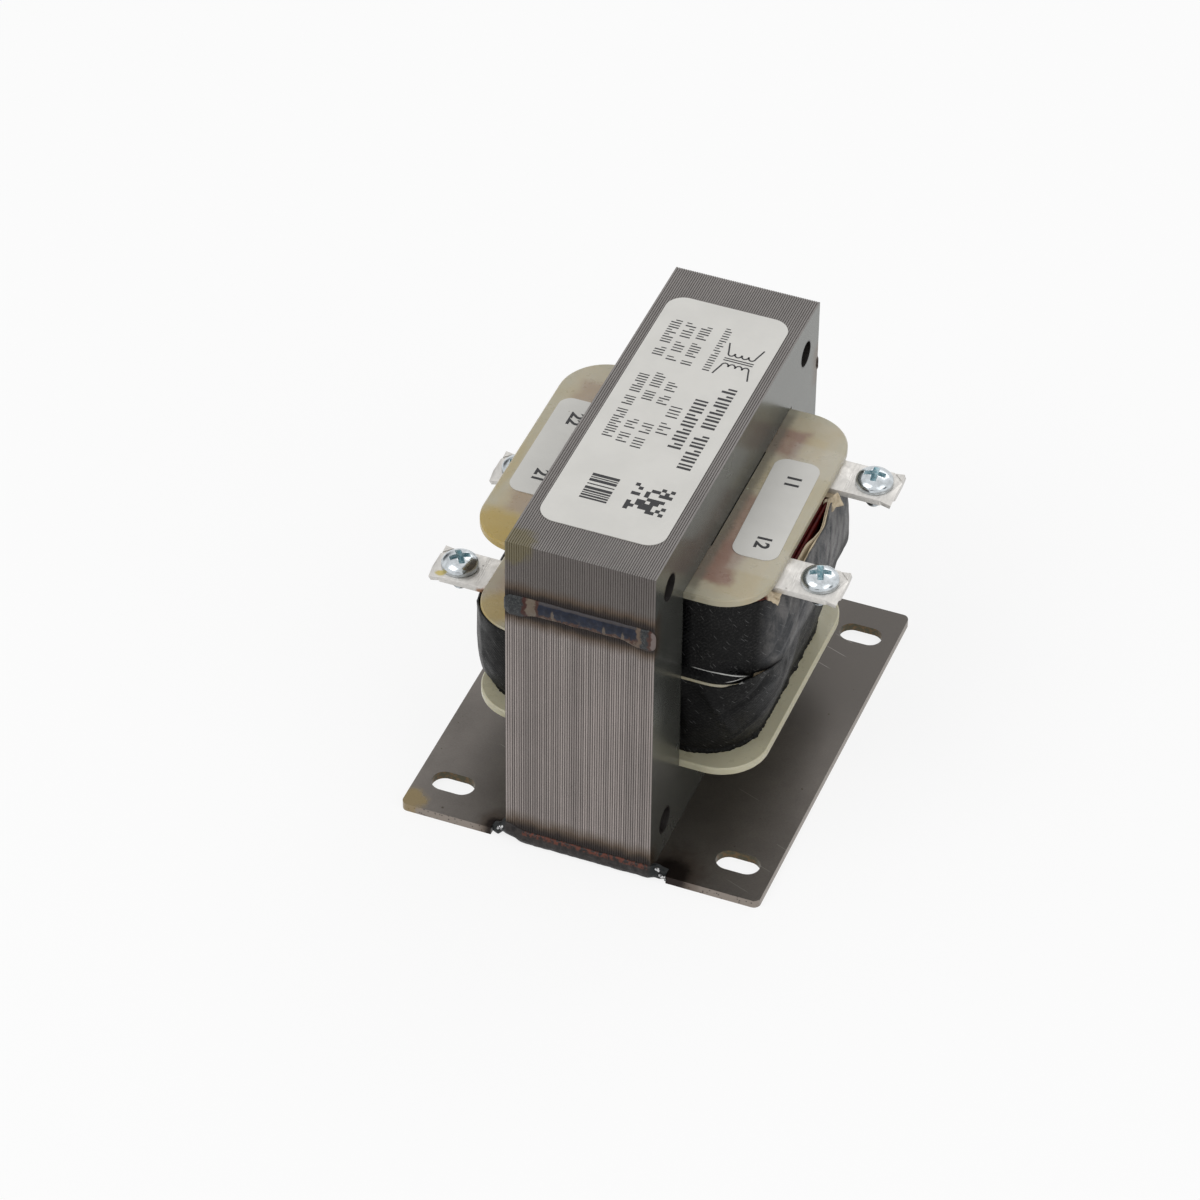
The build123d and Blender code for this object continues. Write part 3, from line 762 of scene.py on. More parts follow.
def tape_finish(settings):
    """Black cloth tape with pale lint, a painted grey sheen near the terminals and on its left, and painted
    shade and highlights at the folds at its front.
    """
    made, tree, shader, place = material("cloth_tape", roughness=0.5, Specular_IOR_Level=0.12)
    flat = put(tree, "UVMap", uv_map="flat").outputs[0]
    cloth = use(tree, weave, Flat=flat, Thread=0.5)
    patches = fade(tree, cloud(tree, place, 0.14), 0.35, 0.6)
    lint = calc(tree, "MULTIPLY", cloth["Lint"], calc(tree, "MULTIPLY_ADD", patches, 0.7, 0.3))
    soaked = calc(tree, "MAXIMUM", fade(tree, part_of(tree, place, "Z"), 42.0, 43.0),
                  fade(tree, part_of(tree, place, "X"), 19.0, 26.0, 0.25, 1.0))
    lint = calc(tree, "MULTIPLY", lint, soaked)
    base = mix(tree, lint, settings.tape, (0.050, 0.050, 0.049))
    base = coat(tree, base, (0.010, 0.010, 0.0102), cloth["Height"], 0.35)
    fuzz = fade(tree, cloud(tree, flat, 1.6, 3.0, 0.8), 0.56, 0.66)
    base = coat(tree, base, (0.045, 0.045, 0.042), fuzz, 0.5)
    # Painted sheen: the tape is painted a streaky lighter grey near the straps, more so higher up, and on
    # its left side.
    film = fade(tree, stretched(tree, place, (0.25, 0.25, 0.10), 4.0, 0.65), 0.40, 0.62)
    x = part_of(tree, place, "X")
    level = part_of(tree, place, "Z")
    sheen_near_straps = fade(tree, x, 29.5, 33.5)
    upper = fade(tree, level, 44.0, 47.0, 0.25, 1.0)
    left = fade(tree, x, -29.6, -30.8)
    seen = calc(tree, "MULTIPLY", sheen_near_straps, upper)
    seen = calc(tree, "MAXIMUM", seen, calc(tree, "MULTIPLY", left, 0.8))
    grey = mix(tree, film, (0.062, 0.064, 0.068), (0.165, 0.160, 0.158))
    base = coat(tree, base, grey, seen, 0.85)
    kraft = product(tree, fade(tree, x, -18.0, -20.0), fade(tree, level, MID_FLANGE[1], MID_FLANGE[1] + 1))
    base = coat(tree, base, (0.145, 0.110, 0.075), kraft, 0.8)
    painted_shade, lip_highlights = front_folds(tree, place)
    # Painted shade in the folds and in the slot beside the core.
    base = mix(tree, painted_shade, base, (0.0015, 0.0015, 0.0018))
    dots = mask_of(tree, specks, flat, Cell=0.9, Share=0.4, Reach=0.17)
    base = coat(tree, base, (0.22, 0.22, 0.21), dots, 0.5)
    lines = mask_of(tree, scratches, flat, Turn=(0, 0, 0.9), Length=1.3, Width=0.055, Share=0.45)
    base = coat(tree, base, (0.30, 0.30, 0.30), lines, 0.5)
    # Painted highlights along the lip edges.
    base = mix(tree, lip_highlights, base, (0.55, 0.55, 0.53))
    rough = fade(tree, cloud(tree, place, 0.3), 0.3, 0.7, 0.42, 0.60)
    rough = calc(tree, "MULTIPLY_ADD", painted_shade, -0.2, rough)
    height = calc(tree, "ADD", cloth["Height"], cloth["Lint"])
    feed(tree, shader, Base_Color=base, Roughness=rough, Normal=bump(tree, height, 0.05))
    return made


# Finishes of terminals and labels

def tin_finish(settings):
    """Hot-tinned strap: whitish metal with soft streaks, small dents and a little yellow flux."""
    made, tree, shader, place = material("tinned_strap", metallic=0.55, roughness=0.42)
    streak = stretched(tree, place, (1.6, 0.5, 2.0), 4.0, 0.65)
    shade = fade(tree, streak, 0.25, 0.75, 0.88, 1.06)
    base = scaled(tree, settings.tin, shade)
    dents = mask_of(tree, specks, place, Cell=1.6, Share=0.25, Reach=0.16)
    base = coat(tree, base, (0.18, 0.16, 0.14), dents, 0.5)
    marks = (((-42.6, -18.2, 40.4), (1.1, 0.8, 1.4), (0.50, 0.40, 0.10)),
             ((-32.4, -19.6, 39.6), (1.8, 1.2, 1.0), (0.30, 0.12, 0.03)))
    for centre, reach, tone in marks:
        flux = mask_of(tree, spot, place, Centre=centre, Reach=reach, Edge=0.35, Ragged=1.6, Grain=0.9)
        base = coat(tree, base, tone, flux, 0.85)
    rough = fade(tree, cloud(tree, place, 0.8, 4.0), 0.3, 0.7, 0.34, 0.52)
    height = calc(tree, "SUBTRACT", streak, dents)
    feed(tree, shader, Base_Color=base, Roughness=rough, Normal=bump(tree, height, 0.05))
    return made


def zinc_finish(settings):
    """Bright zinc plate with a bluish film in the recess and slight clouding."""
    made, tree, shader, place = material("zinc_plate", metallic=1.0, roughness=0.2)
    clouds = cloud(tree, place, 0.9, 4.0)
    base = mix(tree, fade(tree, clouds, 0.35, 0.7), settings.zinc, (0.47, 0.50, 0.52))
    deep = put(tree, "Attribute", attribute_name="recess").outputs["Fac"]
    tint = mix(tree, fade(tree, cloud(tree, place, 1.8), 0.4, 0.6), settings.recess, (0.45, 0.58, 0.62))
    base = coat(tree, base, tint, deep, 0.9)
    rough = fade(tree, clouds, 0.3, 0.7, 0.14, 0.26)
    rough = calc(tree, "MULTIPLY_ADD", deep, 0.2, rough)
    metal = calc(tree, "MULTIPLY_ADD", deep, -0.6, 1.0)
    feed(tree, shader, Base_Color=base, Roughness=rough, Metallic=metal, Normal=bump(tree, clouds, 0.02))
    return made


def label_finish(settings):
    """White satin sticker, faintly mottled, with a little dust."""
    made, tree, shader, place = material("label_stock", roughness=0.42)
    tone = fade(tree, cloud(tree, place, 0.12), 0.3, 0.7, 0.97, 1.03)
    base = scaled(tree, settings.stock, tone)
    dust = mask_of(tree, specks, place, Cell=4.5, Share=0.2, Reach=0.05)
    base = coat(tree, base, (0.16, 0.13, 0.1), dust, 0.7)
    feed(tree, shader, Base_Color=base, Normal=bump(tree, cloud(tree, place, 1.5), 0.008))
    return made


def ink_finish(settings):
    """Matt print with slightly uneven cover."""
    made, tree, shader, place = material("label_ink", roughness=0.6)
    worn = fade(tree, cloud(tree, place, 2.2), 0.62, 0.8)
    base = coat(tree, settings.ink, (0.20, 0.20, 0.20), worn, 0.35)
    feed(tree, shader, Base_Color=base)
    return made


# Shapes

def smooth_step(value, low, high):
    """0 below low, 1 above high, smooth between."""
    share = min(1.0, max(0.0, (value - low) / (high - low)))
    return share * share * (3 - 2 * share)


def wander(x, y, z, scale, seed=0.0):
    """Smooth noise from about -1 to 1."""
    return noise.noise(Vector((x * scale + seed, y * scale - seed, z * scale + 2 * seed)))


def fade_along(table, value):
    """Value that a table of (place, value) gives, smooth between its places."""
    for (start, first), (end, last) in zip(table, table[1:]):
        if value <= end:
            return first + (last - first) * smooth_step(value, start, end)
    return table[-1][1]


def flat_grid(columns, rows, place, width, height):
    """A grid set by place(across, up), both from 0 to 1, with a flat map in millimetres."""
    made = bmesh.new()
    layer = made.loops.layers.uv.new("flat")
    bmesh.ops.create_grid(made, x_segments=columns, y_segments=rows, size=0.5)
    for face in made.faces:
        for loop in face.loops:
            corner = loop.vert.co
            loop[layer].uv = ((corner.x + 0.5) * width, (corner.y + 0.5) * height)
    for vert in made.verts:
        vert.co = place(vert.co.x + 0.5, vert.co.y + 0.5)
    bmesh.ops.remove_doubles(made, verts=made.verts, dist=MERGE)
    return made


def mesh_of(made, name, finish):
    """A mesh from a bmesh, with its finish."""
    mesh = bpy.data.meshes.new(name)
    made.to_mesh(mesh)
    made.free()
    mesh.materials.append(finish)
    return mesh


def placed(context, name, data):
    """A new object in the scene."""
    obj = bpy.data.objects.new(name, data)
    context.collection.objects.link(obj)
    return obj


def carried(context, name, mesh, replaces=()):
    """A mesh as an object that rides on the transformer and the nodes that it stands for."""
    obj = placed(context, name, mesh)
    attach(obj, BODY)
    if replaces:
        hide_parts(*replaces)
    return obj


def piece(context, made, name, finish, replaces=(), smooth=True):
    """Turns a bmesh in millimetres into a piece of the transformer; smooth None keeps each face's own."""
    bmesh.ops.scale(made, vec=(MM, MM, MM), verts=made.verts)
    mesh = mesh_of(made, name, finish)
    if smooth is not None:
        mesh.polygons.foreach_set("use_smooth", [smooth] * len(mesh.polygons))
    return carried(context, name, mesh, replaces)


def paint(node, finish):
    """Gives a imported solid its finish."""
    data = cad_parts[node].data
    data.materials.clear()
    data.materials.append(finish)


def mesh_from(context, curve):
    """The mesh of a curve or text, which is removed."""
    holder = placed(context, curve.name, curve)
    mesh = bpy.data.meshes.new_from_object(holder.evaluated_get(context.evaluated_depsgraph_get()))
    bpy.data.objects.remove(holder)
    bpy.data.curves.remove(curve)
    return mesh


def wire_mesh(context, name, points, wire, finish):
    """A round wire through points in millimetres, as a mesh that rides on the transformer."""
    curve = bpy.data.curves.new(name, "CURVE")
    curve.dimensions = "3D"
    curve.bevel_depth = wire / 2 * 0.98 * MM
    curve.bevel_resolution = 2
    curve.use_fill_caps = True
    line = curve.splines.new("POLY")
    line.points.add(len(points) - 1)
    for index, point in enumerate(points):
        line.points[index].co = (*(point * MM), 1.0)
    mesh = mesh_from(context, curve)
    mesh.name = name
    mesh.materials.clear()
    mesh.materials.append(finish)
    mesh.shade_smooth()
    return carried(context, name, mesh)


def add_thickness(obj, thickness):
    """Gives a single wall its thickness inwards."""
    wall = obj.modifiers.new("thickness", "SOLIDIFY")
    wall.thickness = thickness * MM
    wall.offset = -1.0


def face_outwards(made):
    """Merges doubles and points all faces of a closed shape outwards."""
    bmesh.ops.remove_doubles(made, verts=made.verts, dist=MERGE)
    bmesh.ops.recalc_face_normals(made, faces=made.faces)


def face_outwards_open(made):
    """Points the faces of an open band away from the coil's axis."""
    bmesh.ops.recalc_face_normals(made, faces=made.faces)
    made.faces.ensure_lookup_table()
    face = made.faces[0]
    middle = face.calc_center_median()
    if face.normal.x * middle.x + face.normal.y * middle.y < 0:
        bmesh.ops.reverse_faces(made, faces=made.faces)


def turned(made, angle):
    """Turns a shape about the vertical axis."""
    bmesh.ops.rotate(made, cent=(0, 0, 0), matrix=Matrix.Rotation(angle, 3, "Z"), verts=made.verts)
    return made


def closed_plate(made, low, high):
    """Adds a thin closed plate between a lower and an upper outline."""
    low = [made.verts.new(place) for place in low]
    high = [made.verts.new(place) for place in high]
    made.faces.new(high)
    made.faces.new(reversed(low))
    for index, vert in enumerate(low):
        after = (index + 1) % len(low)
        made.faces.new((vert, low[after], high[after], high[index]))


def copy_of(node):
    """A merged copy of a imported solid's mesh, in millimetres, with its flat faces whole again."""
    made = bmesh.new()
    made.from_mesh(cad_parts[node].data)
    bmesh.ops.scale(made, vec=(1 / MM, 1 / MM, 1 / MM), verts=made.verts)
    bmesh.ops.remove_doubles(made, verts=made.verts, dist=CAD_MERGE)
    bmesh.ops.dissolve_limit(made, angle_limit=math.radians(1), verts=made.verts, edges=made.edges)
    return made


def round_sharp_edges(made, size):
    """Rounds the sharp edges of a closed shape."""
    limit = math.radians(SHARP_ANGLE)
    sharp = [edge for edge in made.edges if edge.is_manifold and edge.calc_face_angle(0.0) > limit]
    bmesh.ops.bevel(made, geom=sharp, offset=size, offset_type="OFFSET", segments=2, profile=0.5,
                    affect="EDGES", material=-1, clamp_overlap=True)


def rounded_ring(share, half_x, half_y, corner):
    """Point and outward direction on a rounded rectangle, by share of its length from +X round by +Y."""
    side_x = half_x - corner
    side_y = half_y - corner
    turn = math.pi / 2 * corner
    runs = (side_y, turn, 2 * side_x, turn, 2 * side_y, turn, 2 * side_x, turn, side_y)
    left = share * sum(runs)
    for index, run in enumerate(runs):
        if left <= run or index == len(runs) - 1:
            break
        left -= run
    heading = math.pi / 2 * ((index + 1) // 2)
    if index % 2:
        angle = math.pi / 2 * (index // 2) + left / corner
        centre = ((side_x, side_y), (-side_x, side_y), (-side_x, -side_y), (side_x, -side_y))[index // 2]
        out = Vector((math.cos(angle), math.sin(angle)))
        return Vector(centre) + corner * out, out
    out = Vector((math.cos(heading), math.sin(heading)))
    along = Vector((-out.y, out.x))
    starts = (Vector((half_x, 0)), Vector((side_x, half_y)), Vector((-half_x, side_y)),
              Vector((-side_x, -half_y)), Vector((half_x, -side_y)))
    return starts[index // 2] + left * along, out


def ring_length(half_x, half_y, corner):
    """Length round a rounded rectangle."""
    return 4 * (half_x + half_y - 2 * corner) + 2 * math.pi * corner


def signed_arc(across, length):
    """Distance round a ring from the middle of its +X side, negative towards -Y."""
    return (across - 1.0 if across > 0.5 else across) * length


def folds_at(folds, arc, level):
    """Height that folds give a place; each runs between two places and has a width and a height."""
    total = 0.0
    for arc_1, level_1, arc_2, level_2, width, height in folds:
        run = Vector((arc_2 - arc_1, level_2 - level_1))
        off = Vector((arc - arc_1, level - level_1))
        share = min(1.0, max(0.0, off.dot(run) / run.length_squared))
        total += height * math.exp(-((off - share * run).length / width) ** 2)
    return total


# Core and welds

class TRANSFORMER_OT_core(bpy.types.Operator):
    """Finish the laminated core and its base plate"""

    bl_idname = "transformer.core"
    bl_label = "Core and Plate"

    def execute(self, context):
        settings = look(context, "core")
        paint("e_laminations", e_stack_finish(settings))
        paint("i_laminations", i_stack_finish(settings))
        paint("base_plate", plate_finish(settings))
        return {"FINISHED"}


def joint_edges(x):
    """Lowest and highest level of an upper bead at a place along it; it sags at its ends."""
    sag = smooth_step(abs(x), 8.5, 14.0)
    return JOINT_LEVEL - 1.7 - 1.3 * sag + 0.2 * wander(x, 0, 0, 0.3, 5.0), JOINT_LEVEL + 2.5


def base_edges(x):
    """Lowest and highest level of a lower bead at a place along it; it climbs the sheets on the left."""
    climb = smooth_step(-x, 11.5, 15.5) * smooth_step(x, -18.0, -16.5)
    end = smooth_step(abs(x), SIDE_X, SIDE_X + 2.5)
    return 0.3 + 1.3 * climb - 0.1 * end, PLATE[1].z + 1.8 + 1.2 * climb - 0.9 * end


def drips(seed):
    """Small bright drips of frozen weld metal at both ends of a lower bead."""
    made = bmesh.new()
    chance = random.Random(seed)
    runs = ((17.3, 3.3, 19.3, 1.2, 8), (-17.6, 2.9, -16.3, 3.3, 5))
    for x_1, z_1, x_2, z_2, count in runs:
        for step in range(count):
            share = step / (count - 1)
            radius = chance.uniform(0.26, 0.42)
            lump = bmesh.ops.create_icosphere(made, subdivisions=2, radius=radius)["verts"]
            x = x_1 + (x_2 - x_1) * share + chance.uniform(-0.12, 0.12)
            z = z_1 + (z_2 - z_1) * share + chance.uniform(-0.3, 0.3)
            bmesh.ops.translate(made, vec=(x, -FACE_Y - 0.1 + 0.2 * math.sin(9 * share), z), verts=lump)
    return made


def bead_shape(long, edges, rise, seed, bite, tuck=0.0):
    """A weld bead along X between two edge levels, with rippled scales and ends that may tuck in."""
    def place(across, up):
        x = (across - 0.5) * long
        full = math.sqrt(min(1.0, min(across, 1 - across) * long / 1.4))
        angle = 2 * math.pi * up
        low, high = edges(x)
        middle = (low + high) / 2
        half = (high - low) / 2 * (1 + 0.06 * wander(x, 3, 1, 0.5, seed)) * (0.45 + 0.55 * full)
        scale = abs(math.sin(math.pi * (x + 0.5 * math.cos(angle) ** 2) / 1.9)) ** 0.6
        bulge = rise * full * (0.76 + 0.16 * scale + 0.25 * wander(x, math.cos(angle), 0, 0.5, seed))
        lump = 0.12 * wander(x, 4 * math.cos(angle), 4 * math.sin(angle), 0.9, seed)
        out = math.sin(angle)
        depth = (bulge + lump) * out if out > 0 else bite * out
        back = tuck * smooth_step(abs(x), SIDE_X - 0.5, SIDE_X + 1.2)
        return Vector((x, -FACE_Y + back - depth, middle - half * math.cos(angle)))

    made = flat_grid(160, 32, place, width=long, height=8.0)
    face_outwards(made)
    return made


class TRANSFORMER_OT_welds(bpy.types.Operator):
    """Lay the four weld beads and their drips"""

    bl_idname = "transformer.welds"
    bl_label = "Weld Beads"

    def execute(self, context):
        settings = look(context, "weld")
        upper = weld_finish(settings, "upper_weld", upper_weld_colour)
        lower = weld_finish(settings, "lower_weld", lower_weld_colour)
        bright = drip_finish()
        for end in ("front", "rear"):
            joint = bead_shape(2 * SIDE_X + 0.4, joint_edges, settings.rise, seed=3.0, bite=0.3)
            foot = bead_shape(2 * SIDE_X + 6.6, base_edges, settings.rise, seed=8.0, bite=1.9, tuck=0.7)
            shapes = ((joint, upper, end + "_joint_bead", [end + "_joint_weld"]),
                      (foot, lower, end + "_base_bead", [end + "_base_weld"]),
                      (drips(seed=5), bright, end + "_drips", []))
            for made, finish, name, nodes in shapes:
                if end == "rear":
                    turned(made, math.pi)
                piece(context, made, name, finish, nodes)
        return {"FINISHED"}


# Bobbin and windings

class TRANSFORMER_OT_bobbin(bpy.types.Operator):
    """Finish the moulded bobbin"""

    bl_idname = "transformer.bobbin"
    bl_label = "Bobbin"

    def execute(self, context):
        paint("bobbin", nylon_finish(look(context, "coil")))
        return {"FINISHED"}


def left_shift(x):
    """How far a place of the upper coil is drawn in on the left."""
    return LEFT_DRAW * smooth_step(-x, 0.0, 20.0)


def away_from_axis(place):
    """Level direction from the coil's axis to a place."""
    return Vector((place.x, place.y, 0)).normalized()


def primary_turn(share, level, inset):
    """A place on a turn of the primary: thinner on the left, drawn out at its open right side."""
    half_x = -PRIMARY[0].x - inset
    point = rounded_ring(share, half_x, PRIMARY[1].y - inset, COIL_CORNER - inset)[0]
    rise = (level - PRIMARY[0].z) / PRIMARY_HEIGHT
    point.x += (PRIMARY[1].x + PRIMARY[0].x) * smooth_step(point.x, 12.0, half_x)
    open_side = smooth_step(point.x, 20.0, half_x) * smooth_step(-abs(point.y), -25.0, -14.0)
    point.x += 1.5 * rise ** 2 * open_side
    return Vector((point.x + left_shift(point.x), point.y, level))


def primary_core(wire):
    """The primary's inner layers as one ring under its outer wires."""
    def place(across, up):
        inset, level = ((wire, 0.0), (wire, 1.0), (7.0, 1.0), (7.0, 0.0))[int(4 * up) % 4]
        height = PRIMARY_HEIGHT - 1.2 * wire
        base = primary_turn(across, PRIMARY[0].z + 0.1 + level * height, 0.0)
        return base - away_from_axis(base) * (inset - 0.3)

    made = flat_grid(160, 4, place, width=COIL_GIRTH, height=40.0)
    bmesh.ops.recalc_face_normals(made, faces=made.faces)
    return made


def primary_wires(wire):
    """Places along the primary's outer layer, wound from its foot to its head, then a flat spiral on top."""
    steps = 72
    inset = wire / 2
    turns = int(PRIMARY_HEIGHT / wire)
    rise = PRIMARY_HEIGHT - wire
    foot = PRIMARY[0].z + inset
    points = [primary_turn(index % steps / steps, foot + rise * index / (turns * steps), inset)
              for index in range(turns * steps + 1)]
    points += [primary_turn(index % steps / steps, PRIMARY[1].z - inset, inset * (1 + 2 * index / steps))
               for index in range(1, 3 * steps)]
    return points


class TRANSFORMER_OT_windings(bpy.types.Operator):
    """Finish the windings and their ends, and wind the outer layer of red wire"""

    bl_idname = "transformer.windings"
    bl_label = "Windings"

    def execute(self, context):
        settings = look(context, "coil")
        red = enamel_finish(settings)
        paint("secondary_winding", red)
        for coil in ("primary", "secondary"):
            for end in ("front", "rear"):
                paint(f"{coil}_{end}_lead", red)
        wire_mesh(context, "primary_outer_layer", primary_wires(settings.wire), settings.wire, red)
        piece(context, primary_core(settings.wire), "primary_inner_layers", red,
              ["primary_winding"])
        return {"FINISHED"}


# Tape and paper

# Levels of the tapes' edges, as (arc, level); the arc starts at the middle of the right side and is
# negative towards the front
UPPER_FOOT = ((-70.0, 43.6), (-37.6, 43.6), (-31.8, 43.8), (-27.8, 44.0), (-24.0, 44.3), (-18.0, 44.0),
              (-12.7, 43.8), (-7.0, 43.6), (-2.0, 43.3), (4.0, 42.9), (70.0, 42.8))
LOWER_HEAD = ((-101.0, 38.95), (-83.0, 38.95), (-79.5, 41.4), (-74.0, 42.0), (-58.0, 41.7),
              (-30.6, 41.9), (-28.6, 42.8), (-26.2, 44.3), (-23.2, 45.0), (-13.0, 45.0), (-4.0, 42.8),
              (1.0, 41.6), (50.0, 41.6), (54.0, 38.95), (101.0, 38.95))

# Folds of the tapes: arc and level of both ends, width and height
UPPER_FOLDS = ((-20.5, 61.5, -24.5, 50.0, 0.55, -0.35), (-17.5, 61.5, -24.0, 48.0, 0.5, 0.3),
               (-14.7, 61.5, -23.5, 47.5, 0.45, -0.3), (-12.0, 58.0, -22.5, 47.0, 0.6, 0.35),
               (-8.5, 54.0, -21.0, 46.0, 0.5, -0.25), (-4.0, 60.0, -6.0, 46.0, 0.8, 0.3),
               (6.0, 60.0, 3.0, 47.0, 0.7, -0.3), (55.0, 60.0, 62.0, 45.0, 0.6, 0.4))
LOWER_FOLDS = ((-22.0, 44.0, -30.0, 33.0, 0.6, -0.5), (-16.0, 42.0, -26.0, 24.0, 0.8, 0.45),
               (-33.0, 40.0, -27.0, 27.0, 0.9, 0.5), (-38.0, 38.0, -36.0, 24.0, 0.8, -0.4),
               (-8.0, 40.0, -14.0, 24.0, 0.9, -0.4), (58.0, 37.0, 64.0, 24.0, 0.7, 0.45))


def primary_lean(point, up):
    """How far the upper wraps stand out at their open right side, by share of their height."""
    if point.x <= 0:
        return 0.0
    across = -abs(point.y)
    foot = 3.7 * smooth_step(across, -31.0, -20.0)
    head = 4.3 * smooth_step(across, -29.5, -13.0)
    lean = foot + (head - foot) * up + 0.9 * math.sin(math.pi * up) * smooth_step(across, -31.0, -20.0)
    return lean - (0.4 + 1.3 * up) * smooth_step(point.y, 0.0, 12.0) * smooth_step(across, -31.0, -22.0)


def upper_wrap_place(across, up, offset, foot, head, folds):
    """A place on a wrap of the primary, between its foot and head levels."""
    half_x = -PRIMARY[0].x + offset
    half_y = PRIMARY[1].y + offset
    corner = COIL_CORNER + offset
    point, out = rounded_ring(across, half_x, half_y, corner)
    arc = signed_arc(across, ring_length(half_x, half_y, corner))
    low = foot(arc)
    high = head(point)
    level = low + (high - low) * up
    share = (level - MID_FLANGE[1]) / (TOP_FLANGE[0] - MID_FLANGE[1])
    lean = primary_lean(point, min(1.0, max(0.0, share)))
    lean += folds_at(folds, arc, level) + 0.12 * wander(point.x, point.y, level, 0.12)
    lean += 0.06 * wander(point.x, point.y, level, 0.5)
    rest = point + out * lean
    return Vector((rest.x + left_shift(point.x), rest.y, level))


def upper_tape_place(across, up):
    """A place on the upper tape, by share round the coil and share of its height."""
    def foot(arc):
        return fade_along(UPPER_FOOT, arc) + 0.12 * wander(arc, 0, 0, 0.8)

    def head(point):
        side = smooth_step(point.x, 22.0, 28.5)
        return TOP_FLANGE[0] - 0.2 - side * (1.3 + 0.4 * wander(point.x, point.y, 0, 0.22))

    return upper_wrap_place(across, up, TAPE_OFFSET, foot, head, UPPER_FOLDS)


def foot_tape_place(across, up):
    """A place on the lowest turn of tape on the upper coil, flaring over the middle flange at its foot."""
    place = upper_wrap_place(across, up, 0.35, lambda arc: MID_FLANGE[1] + 0.12, lambda point: 47.0, ())
    point = rounded_ring(across, FLANGE_X - 0.5, FLANGE_Y - 0.3, 10.2)[0]
    flare = smooth_step(up, 0.6, 0.0) * smooth_step(-place.y, 8.0, 20.0) * smooth_step(place.x, -2.0, 10.0)
    return place.lerp(Vector((point.x, point.y, place.z)), flare)


def lower_wrap_place(across, up, offset):
    """A place on a wrap of the secondary, drawn out to the middle flange's rim and bulging on the left."""
    half_x = -SECONDARY[0].x + offset
    half_y = SECONDARY[1].y + offset
    corner = LOWER_CORNER + offset
    point, out = rounded_ring(across, half_x, half_y, corner)
    arc = signed_arc(across, ring_length(half_x, half_y, corner))
    low = LOW_FLANGE[1] + 0.12 + 0.22 * abs(wander(point.x, point.y, 0, 0.5))
    high = fade_along(LOWER_HEAD, arc)
    level = low + (high - low) * up
    share = min(1.0, (level - LOW_FLANGE[1]) / (MID_FLANGE[0] + 0.4 - LOW_FLANGE[1]))
    head = rounded_ring(across, FLANGE_X + offset - 0.5, FLANGE_Y + offset - 0.6, 10.5 + offset)[0]
    front = smooth_step(-point.y, 1.0, 11.0)
    head.x += (2.1 * front - 0.2 * (1 - front)) * smooth_step(head.x, 14.0, 29.0)
    rest = point.lerp(head, share + 0.10 * math.sin(math.pi * share))
    left = smooth_step(-point.x, 2.0, 18.0)
    bulge = -SECONDARY[0].x + offset + 3.4 + 2.6 * smooth_step(level, LOW_FLANGE[1], LOW_FLANGE[1] + 3.0)
    bulge -= 0.6 * smooth_step(level, 31.0, 39.0)
    aim = point.x * bulge / half_x if point.x < 0 else point.x
    rest.x += left * (aim - rest.x)
    fold = folds_at(LOWER_FOLDS, arc, level) + 0.25 * wander(point.x, point.y, level, 0.13, 5.0)
    fold += 0.08 * wander(point.x, point.y, level, 0.5, 2.0)
    rest += out * fold * smooth_step(share, 0.0, 0.12)
    return Vector((rest.x, rest.y, level))


def lower_tape_place(across, up):
    """A place on the lower tape, by share round the coil and share of its height."""
    return lower_wrap_place(across, up, TAPE_OFFSET)


def foot_fray_place(across, up):
    """A place on the frayed turn that shows under the lower tape's foot."""
    place = lower_wrap_place(across, 0.0, 0.95)
    rag = 0.5 * wander(place.x, place.y, 0, 0.35, 3.0) + 0.35 * wander(place.x, place.y, 0, 1.6, 3.0)
    rest = place + away_from_axis(place) * (0.35 + rag) * (1 - up)
    return Vector((rest.x, rest.y, LOW_FLANGE[1] + 0.06 + 1.6 * up))


class TRANSFORMER_OT_tapes(bpy.types.Operator):
    """Wrap the coils in black cloth tape"""

    bl_idname = "transformer.tapes"
    bl_label = "Tape"

    def execute(self, context):
        settings = look(context, "coil")
        cloth = tape_finish(settings)
        upper = ring_length(-PRIMARY[0].x, PRIMARY[1].y, COIL_CORNER)
        lower = ring_length(SECONDARY[1].x, SECONDARY[1].y, LOWER_CORNER)
        turns = (("upper_tape", upper_tape_place, upper, 19.0, 60, ["primary_tape_wrap"]),
                 ("upper_foot_tape", foot_tape_place, upper, 5.0, 14, []),
                 ("lower_tape", lower_tape_place, lower, 24.0, 60, ["secondary_tape_wrap"]),
                 ("lower_foot_tape", foot_fray_place, lower, 1.6, 4, []))
        for name, place, around, height, rows, nodes in turns:
            made = flat_grid(420, rows, place, width=around, height=height)
            face_outwards_open(made)
            obj = piece(context, made, name, cloth, nodes)
            add_thickness(obj, settings.tape_thickness)
        return {"FINISHED"}


def upper_paper_place(across, up):
    """A place on the paper under the upper tape."""
    def head(point):
        side = smooth_step(point.x, 20.0, 29.0)
        return TOP_FLANGE[0] - 0.2 - side * (1.25 + 0.35 * wander(point.x, point.y, 0, 0.25, 4.0))

    return upper_wrap_place(across, up, PAPER_OFFSET, lambda arc: MID_FLANGE[1] + 0.2, head, ())


def split_paper_place(across, up):
    """A place on the second paper, which parts from the tape at the front of the open side."""
    place = upper_paper_place(across, up)
    part = smooth_step(place.x, 24.0, 31.0) * smooth_step(-place.y, -1.0, 8.0) * up ** 3
    drop = 0.4 * wander(place.x, place.y, 0, 0.4, 9.0) * smooth_step(place.x, 26.0, 31.0)
    return Vector((place.x - 0.35 - 1.1 * part, place.y, place.z - 0.1 - drop * up))


def lower_paper_place(across, up):
    """A place on the paper under the lower tape."""
    place = lower_wrap_place(across, min(up, 0.93), PAPER_OFFSET)
    return place - 0.35 * away_from_axis(place)


